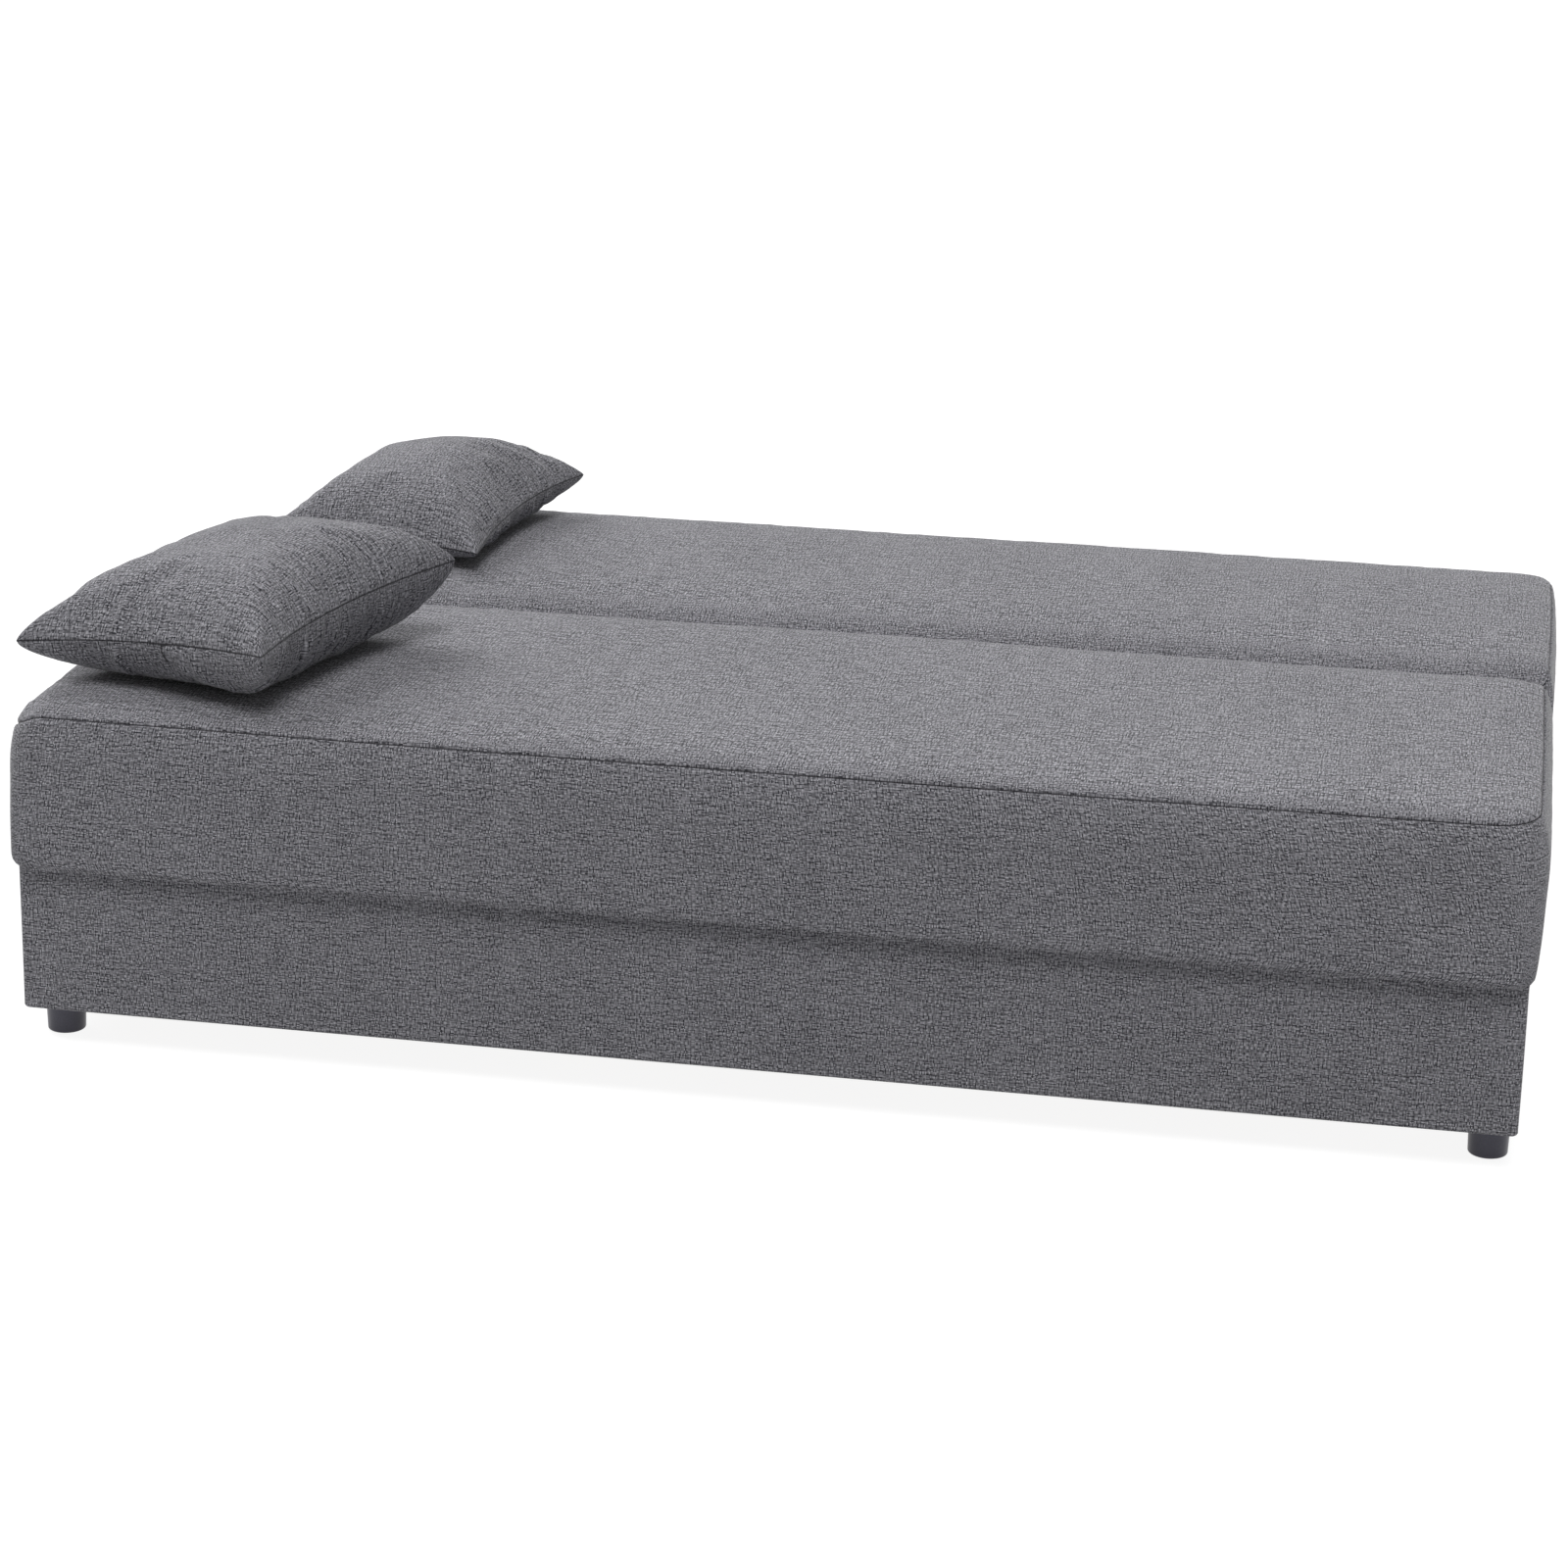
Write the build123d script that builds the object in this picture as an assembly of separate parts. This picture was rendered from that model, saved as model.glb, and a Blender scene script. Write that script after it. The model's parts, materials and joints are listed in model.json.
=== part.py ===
from build123d import *
import math
import os

# Sofa bed shown laid flat: a seat pad on a plinth, a back pad that folds up, and two loose pillows.
# Sizes are millimetres. X runs along the length, Y from the front to the rear, Z up from the floor.

# Overall sizes
BASE_WIDTH = 1940.0
SEAT_DEPTH = 680.0
BACK_DEPTH = 602.0
BASE_HEIGHT = 197.0
PAD_HEIGHT = 210.0
FOOT_HEIGHT = 50.0
PAD_GAP = 4.0
PAD_OVERHANG = 16.0
BASE_REAR_SETBACK = 14.0

# Form of the pads
TUCK_HEIGHT = 90.0
SHOULDER_HEIGHT = 80.0
SHOULDER_POWER = 2.5
TOP_INSET = 28.0
PAD_CROWN = 8.0
CROWN_REACH = 120.0
FRONT_BOW = 12.0
SIDE_BOW = 5.0
PAD_CORNER = 62.0
LEAST_CORNER = 24.0
BACK_ROLL = 80.0
TUCK_STEPS = 4
SHOULDER_STEPS = 6
CROWN_STEPS = 3

# Cloth, wadding and sheets
COVER = 3.0
DUST_COVER = 2.0
STRAP_THICKNESS = 2.0
STRAP_WIDTH = 60.0
STRAP_COUNT = 12
FELT = 3.0
SOFT_GAP = 0.3
FOAM_END_WALL = 25.0
FOAM_NEAR_WALL = 15.0
FOAM_TOP_WALL = 52.0

# Timber
BOARD = 18.0
RAIL = 20.0
BASE_CORNER = 12.0
BOTTOM_PANEL = 4.0
CROSS_BOARD_X = 320.0
CORNER_BLOCK = 60.0
CORNER_BLOCK_HEIGHT = 86.0
CLEAT = 40.0
CLEAT_FRONT_INSET = 70.0
CLEAT_REAR_ROOM = 15.0
CROSS_RAIL_HEIGHT = 90.0

# Feet
FOOT_DIAMETER = 53.0
FOOT_TAPER = 1.5
FOOT_EDGE = 3.0
FOOT_SIDE_INSET = 34.0
FOOT_END_INSET = 66.0
FOOT_BOLT_RADIUS = 4.0
FOOT_BOLT_FROM_FLOOR = 20.0
FOOT_BOLT_LENGTH = 80.0

# Back hinges
PLATE = 5.0
PLATE_BAR_HEIGHT = 65.0
PLATE_BAR_RISE = 100.0
PLATE_BAR_REACH = 143.0
PLATE_CORNER = 30.0
HINGE_HEAD = 25.0
ARM_HALF_HEIGHT = 22.0
ARM_LENGTH = 165.0
ARM_SCREW_SPACING = 45.0
PIN_RADIUS = 6.0
PIN_HEAD_RADIUS = 10.0
PIN_HEAD = 5.0
PIN_NUT_RADIUS = 11.0
PIN_NUT = 8.0
WASHER = 1.0
WASHER_RADIUS = 18.0
RUNNING_FIT = 0.05
SIDE_PLAY = 0.3
NUT_ROOM = 4.0
SLOT_ROOM = 2.0
PLATE_BOLT_RADIUS = 4.0
PLATE_BOLT_HEAD_RADIUS = 9.0
PLATE_BOLT_HEAD = 3.0
PLATE_NUT_RADIUS = 8.0
PLATE_NUT = 6.5
PLATE_BOLT_COUNT = 3
PLATE_BOLT_SPACING = 42.0
PLATE_BOLT_SETBACK = 38.0

# Screws
SCREW_RADIUS = 2.5
SCREW_HEAD_RADIUS = 5.0
SCREW_HEAD = 3.0
SCREW_LENGTH = 14.0
SEAT_BOLT_RADIUS = 4.0
SEAT_BOLT_HEAD_RADIUS = 8.0
SEAT_BOLT_HEAD = 5.0
SEAT_BOLT_GRIP = 36.0
SEAT_BOLT_INSET = 60.0

# Folding rear legs
LEG_END_INSET = 210.0
LEG_FAR_INSET = 83.0
LEG_RADIUS = 14.0
LEG_WALL = 2.0
LEG_PIVOT_DROP = 23.0
LEG_TOP_LAP = 9.0
LEG_PIN_RADIUS = 4.0
LEG_PIN_HEAD_RADIUS = 7.0
LEG_PIN_HEAD = 3.0
LEG_CAP_WALL = 4.0
LEG_CAP_HEIGHT = 30.0
LEG_TUBE_RADIUS = 11.0
LEG_TUBE_Z = 95.0
LEG_RAIL_WIDTH = 90.0
LEG_RAIL_HEIGHT = 40.0
BRACKET = 4.0
BRACKET_LENGTH = 56.0
BRACKET_FLANGE = 24.0
BRACKET_SCREW_SPACING = 36.0

# Pillows
PILLOW_FLAT = 10.0
PILLOW_EDGE = 5.0
PILLOW_DRAW = 17.0
PILLOW_FULLNESS = 2.6
PILLOW_ROUND = 0.62
PILLOW_COVER = 2.0
PILLOW_SEAM_LAP = 9.0
FRONT_PILLOW_WIDTH = 376.0
FRONT_PILLOW_LENGTH = 478.0
FRONT_PILLOW_TOP = 92.0
FRONT_PILLOW_UNDER = 78.0
FRONT_PILLOW_FROM_END = 231.0
FRONT_PILLOW_FROM_FRONT = 305.0
FRONT_PILLOW_TURN = -14.9
REAR_PILLOW_WIDTH = 356.0
REAR_PILLOW_LENGTH = 452.0
REAR_PILLOW_TOP = 88.0
REAR_PILLOW_UNDER = 44.0
REAR_PILLOW_FROM_END = 273.0
REAR_PILLOW_FROM_FAR = 227.0
REAR_PILLOW_TURN = -6.8

# Layout worked out from the sizes above
PAD_WIDTH = BASE_WIDTH + 2 * PAD_OVERHANG
TOTAL_DEPTH = SEAT_DEPTH + PAD_GAP + BACK_DEPTH
SEAT_FRONT_Y = -TOTAL_DEPTH / 2
SEAT_REAR_Y = SEAT_FRONT_Y + SEAT_DEPTH
BACK_NEAR_Y = SEAT_REAR_Y + PAD_GAP
BACK_FAR_Y = BACK_NEAR_Y + BACK_DEPTH
BASE_FRONT_Y = SEAT_FRONT_Y + PAD_OVERHANG
BASE_REAR_Y = SEAT_REAR_Y - BASE_REAR_SETBACK
BASE_TOP_Z = FOOT_HEIGHT + BASE_HEIGHT
PAD_EDGE_Z = BASE_TOP_Z + PAD_HEIGHT
PAD_TOP_Z = PAD_EDGE_Z + PAD_CROWN
AXIS_Y = BACK_NEAR_Y + BACK_ROLL
AXIS_Z = PAD_EDGE_Z - BACK_ROLL
LEG_X = BASE_WIDTH / 2 - LEG_END_INSET
FRONT_PILLOW_X = FRONT_PILLOW_FROM_END - PAD_WIDTH / 2
REAR_PILLOW_X = REAR_PILLOW_FROM_END - PAD_WIDTH / 2
FRONT_PILLOW_Y = SEAT_FRONT_Y + FRONT_PILLOW_FROM_FRONT
REAR_PILLOW_Y = BACK_FAR_Y - REAR_PILLOW_FROM_FAR

# Base: faces of its boards
BOARD_OUT_X = BASE_WIDTH / 2 - COVER
BOARD_IN_X = BOARD_OUT_X - BOARD
BOARD_FRONT_Y = BASE_FRONT_Y + COVER
BOARD_REAR_Y = BASE_REAR_Y - COVER
BOX_FRONT_Y = BOARD_FRONT_Y + BOARD
BOX_REAR_Y = BOARD_REAR_Y - BOARD
BOARD_BOTTOM_Z = FOOT_HEIGHT + BOTTOM_PANEL

# Hinges: layers from the base's side board inwards
PLATE_OUT_X = BOARD_IN_X
PLATE_IN_X = PLATE_OUT_X - PLATE
ARM_OUT_X = PLATE_IN_X - WASHER - SIDE_PLAY
ARM_IN_X = ARM_OUT_X - PLATE
RAIL_OUT_X = ARM_IN_X
RAIL_IN_X = RAIL_OUT_X - RAIL
BAR_BOTTOM_Z = FOOT_HEIGHT + PLATE_BAR_RISE
BAR_TOP_Z = BAR_BOTTOM_Z + PLATE_BAR_HEIGHT
BAR_FRONT_Y = BOX_REAR_Y - PLATE_BAR_REACH
CLEAT_LENGTH = BAR_FRONT_Y - CLEAT_REAR_ROOM - BOX_FRONT_Y - CLEAT_FRONT_INSET

# Pads: levels of the frame and what lies on it
FRAME_BOTTOM_Z = BASE_TOP_Z + DUST_COVER
FELT_TOP_Z = PAD_EDGE_Z - FOAM_TOP_WALL
STRAP_TOP_Z = FELT_TOP_Z - FELT
FRAME_TOP_Z = STRAP_TOP_Z - STRAP_THICKNESS

# Rear legs
LEG_Y = BACK_FAR_Y - LEG_FAR_INSET
LEG_PIVOT_Z = BASE_TOP_Z - LEG_PIVOT_DROP
CHEEK_GAP_X = LEG_RADIUS + SIDE_PLAY

os.makedirs("parts", exist_ok=True)


def block(x, y, z):
    """A box between low and high values of x, y and z."""
    size = (x[1] - x[0], y[1] - y[0], z[1] - z[0])
    middle = ((x[0] + x[1]) / 2, (y[0] + y[1]) / 2, (z[0] + z[1]) / 2)
    return Pos(*middle) * Box(*size)


def spread(side, inner, outer):
    """Low and high x of a layer that lies between two distances from the middle, on one side."""
    return tuple(sorted((side * inner, side * outer)))


def rod_x(x, y, z, radius):
    """A round rod along X between the two values of x."""
    return Pos((x[0] + x[1]) / 2, y, z) * Rot(0, 90, 0) * Cylinder(radius, x[1] - x[0])


def rod_z(x, y, z, radius):
    """A round rod along Z between the two values of z."""
    return Pos(x, y, (z[0] + z[1]) / 2) * Cylinder(radius, z[1] - z[0])


def hexagon_x(x, y, z, radius):
    """A hexagonal prism along X between the two values of x."""
    prism = extrude(RegularPolygon(radius, 6), x[1] - x[0])
    return Pos(x[0], y, z) * Rot(0, 90, 0) * prism


def bowed_edge(start, end, bow):
    """An edge from start to end whose middle lies bow to the right of the way along it."""
    if bow == 0:
        return Line(start, end)
    along = (Vector(*end) - Vector(*start)).normalized()
    middle = (Vector(*start) + Vector(*end)) / 2
    return ThreePointArc(start, middle + Vector(along.Y, -along.X) * bow, end)


def pad_outline(half_width, front, rear, bows, corner, z):
    """A pad's rounded outline at one height, with its corners drawn in by the bows of its sides."""
    front_bow, side_bow, rear_bow = bows
    x = half_width - side_bow
    y_front = front + front_bow
    y_rear = rear - rear_bow
    corners = [(-x, y_front), (x, y_front), (x, y_rear), (-x, y_rear)]
    side_bows = [front_bow, side_bow, rear_bow, side_bow]
    edges = []
    for index, bow in enumerate(side_bows):
        edges.append(bowed_edge(corners[index], corners[(index + 1) % len(corners)], bow))
    outline = make_face(edges)
    return Pos(0, 0, z) * fillet(outline.vertices(), corner)


def pad_stations():
    """Height over the pad's bottom, inset from its fullest outline, and share of its bow, bottom to top."""
    stations = []
    for step in range(TUCK_STEPS):
        share = step / TUCK_STEPS
        stations.append((TUCK_HEIGHT * share, PAD_OVERHANG * (1 - share) ** 2, share))
    for step in range(SHOULDER_STEPS + 1):
        drop = (1 - step / SHOULDER_STEPS) ** 2
        height = PAD_HEIGHT - SHOULDER_HEIGHT * drop
        stations.append((height, TOP_INSET * (1 - drop) ** SHOULDER_POWER, 1.0))
    for step in range(CROWN_STEPS):
        share = (step + 1) / CROWN_STEPS
        height = PAD_HEIGHT + PAD_CROWN * (1 - (1 - share) ** 2)
        stations.append((height, TOP_INSET + CROWN_REACH * share, 1.0))
    return stations


def roll_inset(height, inset):
    """Inset of the back pad's near side, which is round about the fold's axis."""
    above = height - (PAD_HEIGHT - BACK_ROLL)
    if above <= 0:
        return 0.0
    if above >= BACK_ROLL:
        return BACK_ROLL + max(0.0, inset - TOP_INSET)
    return BACK_ROLL - math.sqrt(BACK_ROLL**2 - above**2)


def pad_form(front, rear, rolled, skin):
    """A pad's whole form, taken in by skin. A rolled pad folds about its near side."""
    sections = []
    for height, inset, fullness in pad_stations():
        z = BASE_TOP_Z + height
        if height == 0:
            z -= skin
        if height > PAD_HEIGHT - SHOULDER_HEIGHT:
            z -= skin
        near = inset
        far = inset
        bows = (FRONT_BOW * fullness, SIDE_BOW * fullness, 0.0)
        if rolled:
            near = roll_inset(height, inset)
            bows = (0.0, SIDE_BOW * fullness, FRONT_BOW * fullness)
        corner = max(PAD_CORNER - inset, LEAST_CORNER)
        half_width = PAD_WIDTH / 2 - inset - skin
        sections.append(pad_outline(half_width, front + near + skin, rear - far - skin, bows, corner, z))
    return loft(sections, ruled=True)


def frame_rails(front, rear):
    """The four rails of a pad's frame: front, rear, left and right."""
    z = (FRAME_BOTTOM_Z, FRAME_TOP_Z)
    between = (-RAIL_IN_X, RAIL_IN_X)
    return {
        "front": block(between, (front, front + RAIL), z),
        "rear": block(between, (rear - RAIL, rear), z),
        "left": block((-RAIL_OUT_X, -RAIL_IN_X), (front, rear), z),
        "right": block((RAIL_IN_X, RAIL_OUT_X), (front, rear), z),
    }


def cross_rails(front, rear):
    """Two low rails that tie a pad's front and rear rails together."""
    z = (FRAME_BOTTOM_Z, FRAME_BOTTOM_Z + CROSS_RAIL_HEIGHT)
    rails = []
    for side in (-1, 1):
        x = (side * CROSS_BOARD_X - RAIL / 2, side * CROSS_BOARD_X + RAIL / 2)
        rails.append(block(x, (front + RAIL, rear - RAIL), z))
    return rails


def straps(front, rear):
    """Webbing straps stretched from the front rail to the rear rail."""
    pitch = 2 * RAIL_IN_X / STRAP_COUNT
    bands = []
    for index in range(STRAP_COUNT):
        middle = -RAIL_IN_X + pitch * (index + 0.5)
        x = (middle - STRAP_WIDTH / 2, middle + STRAP_WIDTH / 2)
        bands.append(block(x, (front, rear), (FRAME_TOP_Z, STRAP_TOP_Z)))
    return bands


def felt_sheet(front, rear):
    """The felt between the straps and the foam."""
    return block((-RAIL_OUT_X, RAIL_OUT_X), (front, rear), (STRAP_TOP_Z, FELT_TOP_Z))


def frame_room(front, rear):
    """The hollow in a pad's foam that its frame, straps and felt fill."""
    x = RAIL_OUT_X + SOFT_GAP
    z = (BASE_TOP_Z - COVER, FELT_TOP_Z + SOFT_GAP)
    return block((-x, x), (front - SOFT_GAP, rear + SOFT_GAP), z)


def dust_sheet(form_inside):
    """The lining that closes a pad's underside, cut from the pad's inner form."""
    x = PAD_WIDTH / 2
    return form_inside & block((-x, x), (SEAT_FRONT_Y, BACK_FAR_Y), (BASE_TOP_Z, FRAME_BOTTOM_Z))


def above_dust_sheet():
    """The space over the dust sheets, which the foam keeps to."""
    x = PAD_WIDTH / 2
    return block((-x, x), (SEAT_FRONT_Y, BACK_FAR_Y), (FRAME_BOTTOM_Z, PAD_TOP_Z))


def hinge_slots():
    """What the back pad's foam and cloth leave free at both ends for the hinges' whole travel."""
    cuts = []
    slot_y = (BACK_NEAR_Y - COVER, AXIS_Y + HINGE_HEAD + SLOT_ROOM)
    slot_z = (BASE_TOP_Z - COVER, AXIS_Z + HINGE_HEAD + SLOT_ROOM)
    arm_y = (AXIS_Y - ARM_HALF_HEIGHT - SLOT_ROOM, AXIS_Y + ARM_LENGTH + SLOT_ROOM)
    arm_z = (AXIS_Z - ARM_HALF_HEIGHT - SLOT_ROOM, AXIS_Z + ARM_HALF_HEIGHT + SLOT_ROOM)
    for side in (-1, 1):
        plate_x = spread(side, PLATE_IN_X - SLOT_ROOM, PLATE_OUT_X + SLOT_ROOM)
        cuts.append(block(plate_x, slot_y, slot_z))
        head_x = spread(side, RAIL_OUT_X, PLATE_OUT_X + PIN_HEAD + SLOT_ROOM)
        cuts.append(rod_x(head_x, AXIS_Y, AXIS_Z, HINGE_HEAD + SLOT_ROOM))
        screw_x = spread(side, RAIL_OUT_X, ARM_OUT_X + SCREW_HEAD + SOFT_GAP)
        cuts.append(block(screw_x, arm_y, arm_z))
    return cuts


def base_outline(inset, z):
    """The plinth's rounded block between two heights, taken in by inset."""
    width = BASE_WIDTH - 2 * inset
    depth = BASE_REAR_Y - BASE_FRONT_Y - 2 * inset
    middle_y = (BASE_FRONT_Y + BASE_REAR_Y) / 2
    face = RectangleRounded(width, depth, BASE_CORNER - inset)
    return Pos(0, middle_y, z[0]) * extrude(face, z[1] - z[0])


def plate_bolt_places():
    """The y and z of each bolt that holds a hinge plate to the base."""
    z = BAR_BOTTOM_Z + PLATE_BAR_HEIGHT / 2
    first = BOX_REAR_Y - PLATE_BOLT_SETBACK
    return [(first - PLATE_BOLT_SPACING * index, z) for index in range(PLATE_BOLT_COUNT)]


def arm_screw_places():
    """The y and z of each screw that holds a hinge arm to the back's end rail."""
    last = AXIS_Y + ARM_LENGTH - ARM_HALF_HEIGHT
    return [(last - ARM_SCREW_SPACING * index, AXIS_Z) for index in range(PLATE_BOLT_COUNT)]


def foot_places():
    """Name and middle of each foot under the plinth."""
    places = {}
    for end, y in (("front", BASE_FRONT_Y + FOOT_END_INSET), ("rear", BASE_REAR_Y - FOOT_END_INSET)):
        for side, sign in (("left", -1), ("right", 1)):
            places[f"{end}_{side}"] = (sign * (BASE_WIDTH / 2 - FOOT_SIDE_INSET), y)
    return places


def foot(x, y):
    """A round foot, slightly narrower at the floor, bored for its bolt."""
    radius = FOOT_DIAMETER / 2
    body = Pos(x, y, FOOT_HEIGHT / 2) * Cone(radius - FOOT_TAPER, radius, FOOT_HEIGHT)
    rims = body.edges().filter_by(GeomType.CIRCLE)
    body = fillet(rims.sort_by(Axis.Z)[0], FOOT_EDGE)
    return body - rod_z(x, y, (FOOT_BOLT_FROM_FLOOR, FOOT_HEIGHT), FOOT_BOLT_RADIUS)


def foot_bolt_rods():
    """The bolts that rise from inside the feet into the corner blocks."""
    z = (FOOT_BOLT_FROM_FLOOR, FOOT_BOLT_FROM_FLOOR + FOOT_BOLT_LENGTH)
    return [rod_z(x, y, z, FOOT_BOLT_RADIUS) for x, y in foot_places().values()]


def corner_blocks():
    """Timber blocks in the plinth's corners, bored for the foot bolts."""
    z = (BOARD_BOTTOM_Z, BOARD_BOTTOM_Z + CORNER_BLOCK_HEIGHT)
    blocks = []
    for side in (-1, 1):
        x = spread(side, BOARD_IN_X - CORNER_BLOCK, BOARD_IN_X)
        blocks.append(block(x, (BOX_FRONT_Y, BOX_FRONT_Y + CORNER_BLOCK), z))
        blocks.append(block(x, (BOX_REAR_Y - CORNER_BLOCK, BOX_REAR_Y), z))
    return blocks


def hinge_plate(side):
    """A bent-up steel plate: its bar is bolted in the plinth and its prong carries the fold's pin."""
    prong = (AXIS_Y - HINGE_HEAD, AXIS_Y + HINGE_HEAD)
    bar = [
        (BAR_FRONT_Y, BAR_BOTTOM_Z),
        (prong[1], BAR_BOTTOM_Z),
        (prong[1], AXIS_Z),
        (prong[0], AXIS_Z),
        (prong[0], BAR_TOP_Z),
        (BAR_FRONT_Y, BAR_TOP_Z),
    ]
    outline = make_face(Polyline(*bar, close=True))
    inner = [v for v in outline.vertices() if abs(v.X - prong[0]) < 1 and abs(v.Y - BAR_TOP_Z) < 1]
    outline = fillet(inner, PLATE_CORNER)
    outline = outline + Pos(AXIS_Y, AXIS_Z) * Circle(HINGE_HEAD)
    x = spread(side, PLATE_IN_X, PLATE_OUT_X)
    plate = Plane(origin=(x[0], 0, 0), x_dir=(0, 1, 0), z_dir=(1, 0, 0)) * extrude(outline, PLATE)
    plate -= rod_x(x, AXIS_Y, AXIS_Z, PIN_RADIUS)
    for y, z in plate_bolt_places():
        plate -= rod_x(x, y, z, PLATE_BOLT_RADIUS)
    return plate


def hinge_arm(side):
    """The steel arm on the back's end rail, which turns on the fold's pin."""
    x = spread(side, ARM_IN_X, ARM_OUT_X)
    z = (AXIS_Z - ARM_HALF_HEIGHT, AXIS_Z + ARM_HALF_HEIGHT)
    arm = block(x, (AXIS_Y, AXIS_Y + ARM_LENGTH), z) + rod_x(x, AXIS_Y, AXIS_Z, ARM_HALF_HEIGHT)
    arm -= rod_x(x, AXIS_Y, AXIS_Z, PIN_RADIUS + RUNNING_FIT)
    for y, screw_z in arm_screw_places():
        arm -= rod_x(x, y, screw_z, SCREW_RADIUS)
    return arm


def arm_screw(side, y, z):
    """A screw through a hinge arm into the back's end rail."""
    head = rod_x(spread(side, ARM_OUT_X, ARM_OUT_X + SCREW_HEAD), y, z, SCREW_HEAD_RADIUS)
    shank = rod_x(spread(side, ARM_OUT_X - SCREW_LENGTH, ARM_OUT_X), y, z, SCREW_RADIUS)
    return head + shank


def pivot_pin(side):
    """A headed pin, fixed in the hinge plate, that reaches through the arm to its nut."""
    head = rod_x(spread(side, PLATE_OUT_X, PLATE_OUT_X + PIN_HEAD), AXIS_Y, AXIS_Z, PIN_HEAD_RADIUS)
    shank_end = ARM_IN_X - SIDE_PLAY - PIN_NUT
    return head + rod_x(spread(side, shank_end, PLATE_OUT_X), AXIS_Y, AXIS_Z, PIN_RADIUS)


def pivot_nut(side):
    """The lock nut on a pivot pin, in the round hole of the back's end rail."""
    x = spread(side, ARM_IN_X - SIDE_PLAY - PIN_NUT, ARM_IN_X - SIDE_PLAY)
    return hexagon_x(x, AXIS_Y, AXIS_Z, PIN_NUT_RADIUS) - rod_x(x, AXIS_Y, AXIS_Z, PIN_RADIUS)


def pivot_washer(side):
    """The slippery washer between a hinge plate and its arm."""
    x = spread(side, PLATE_IN_X - WASHER, PLATE_IN_X)
    return rod_x(x, AXIS_Y, AXIS_Z, WASHER_RADIUS) - rod_x(x, AXIS_Y, AXIS_Z, PIN_RADIUS)


def plate_bolt(side, y, z):
    """A bolt through the plinth's side board and a hinge plate, its head sunk under the cover."""
    head = rod_x(spread(side, BOARD_OUT_X - PLATE_BOLT_HEAD, BOARD_OUT_X), y, z, PLATE_BOLT_HEAD_RADIUS)
    shank = rod_x(spread(side, PLATE_IN_X - PLATE_NUT, BOARD_OUT_X), y, z, PLATE_BOLT_RADIUS)
    return head + shank


def plate_nut(side, y, z):
    """The nut on a plate bolt, inside the plinth."""
    x = spread(side, PLATE_IN_X - PLATE_NUT, PLATE_IN_X)
    return hexagon_x(x, y, z, PLATE_NUT_RADIUS) - rod_x(x, y, z, PLATE_BOLT_RADIUS)


def each_plate_bolt(make):
    """One piece for every bolt place of both hinge plates."""
    return [make(side, y, z) for side in (-1, 1) for y, z in plate_bolt_places()]


def cleats():
    """Timber cleats on the plinth's side boards, which the seat is bolted to."""
    y = (BOX_FRONT_Y + CLEAT_FRONT_INSET, BOX_FRONT_Y + CLEAT_FRONT_INSET + CLEAT_LENGTH)
    z = (BASE_TOP_Z - CLEAT, BASE_TOP_Z)
    return [block(spread(side, BOARD_IN_X - CLEAT, BOARD_IN_X), y, z) for side in (-1, 1)]


def seat_bolts():
    """Bolts that rise through the cleats into the seat's end rails."""
    x = (RAIL_IN_X + RAIL_OUT_X) / 2
    first = BOX_FRONT_Y + CLEAT_FRONT_INSET + SEAT_BOLT_INSET
    last = BOX_FRONT_Y + CLEAT_FRONT_INSET + CLEAT_LENGTH - SEAT_BOLT_INSET
    bottom = BASE_TOP_Z - CLEAT
    bolts = []
    for side in (-1, 1):
        for y in (first, last):
            head = rod_z(side * x, y, (bottom - SEAT_BOLT_HEAD, bottom), SEAT_BOLT_HEAD_RADIUS)
            shank = rod_z(side * x, y, (bottom, FRAME_BOTTOM_Z + SEAT_BOLT_GRIP), SEAT_BOLT_RADIUS)
            bolts.append(head + shank)
    return bolts


def leg_post(side):
    """One rear leg: a steel tube bored across its top for its pivot pin."""
    x = side * LEG_X
    z = (LEG_CAP_WALL, LEG_PIVOT_Z + LEG_TOP_LAP)
    post = rod_z(x, LEG_Y, z, LEG_RADIUS) - rod_z(x, LEG_Y, z, LEG_RADIUS - LEG_WALL)
    hole = (x - LEG_RADIUS, x + LEG_RADIUS)
    return post - rod_x(hole, LEG_Y, LEG_PIVOT_Z, LEG_PIN_RADIUS + RUNNING_FIT)


def leg_cross_tube():
    """The tube that joins the rear legs, its ends shaped to them."""
    x = (-LEG_X, LEG_X)
    tube = rod_x(x, LEG_Y, LEG_TUBE_Z, LEG_TUBE_RADIUS)
    tube -= rod_x(x, LEG_Y, LEG_TUBE_Z, LEG_TUBE_RADIUS - LEG_WALL)
    for side in (-1, 1):
        tube -= rod_z(side * LEG_X, LEG_Y, (0, LEG_PIVOT_Z), LEG_RADIUS)
    return tube


def leg_cap(side):
    """The cap on a rear leg's lower end, which stands on the floor."""
    x = side * LEG_X
    outer = rod_z(x, LEG_Y, (0, LEG_CAP_HEIGHT), LEG_RADIUS + LEG_CAP_WALL)
    return outer - rod_z(x, LEG_Y, (LEG_CAP_WALL, LEG_CAP_HEIGHT), LEG_RADIUS)


def bracket_screw_places(side):
    """The x and y of each screw that holds a leg bracket to the back."""
    flange_x = CHEEK_GAP_X + BRACKET + BRACKET_FLANGE / 2
    places = []
    for across in (-flange_x, flange_x):
        for along in (-BRACKET_SCREW_SPACING / 2, BRACKET_SCREW_SPACING / 2):
            places.append((side * LEG_X + across, LEG_Y + along))
    return places


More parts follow.
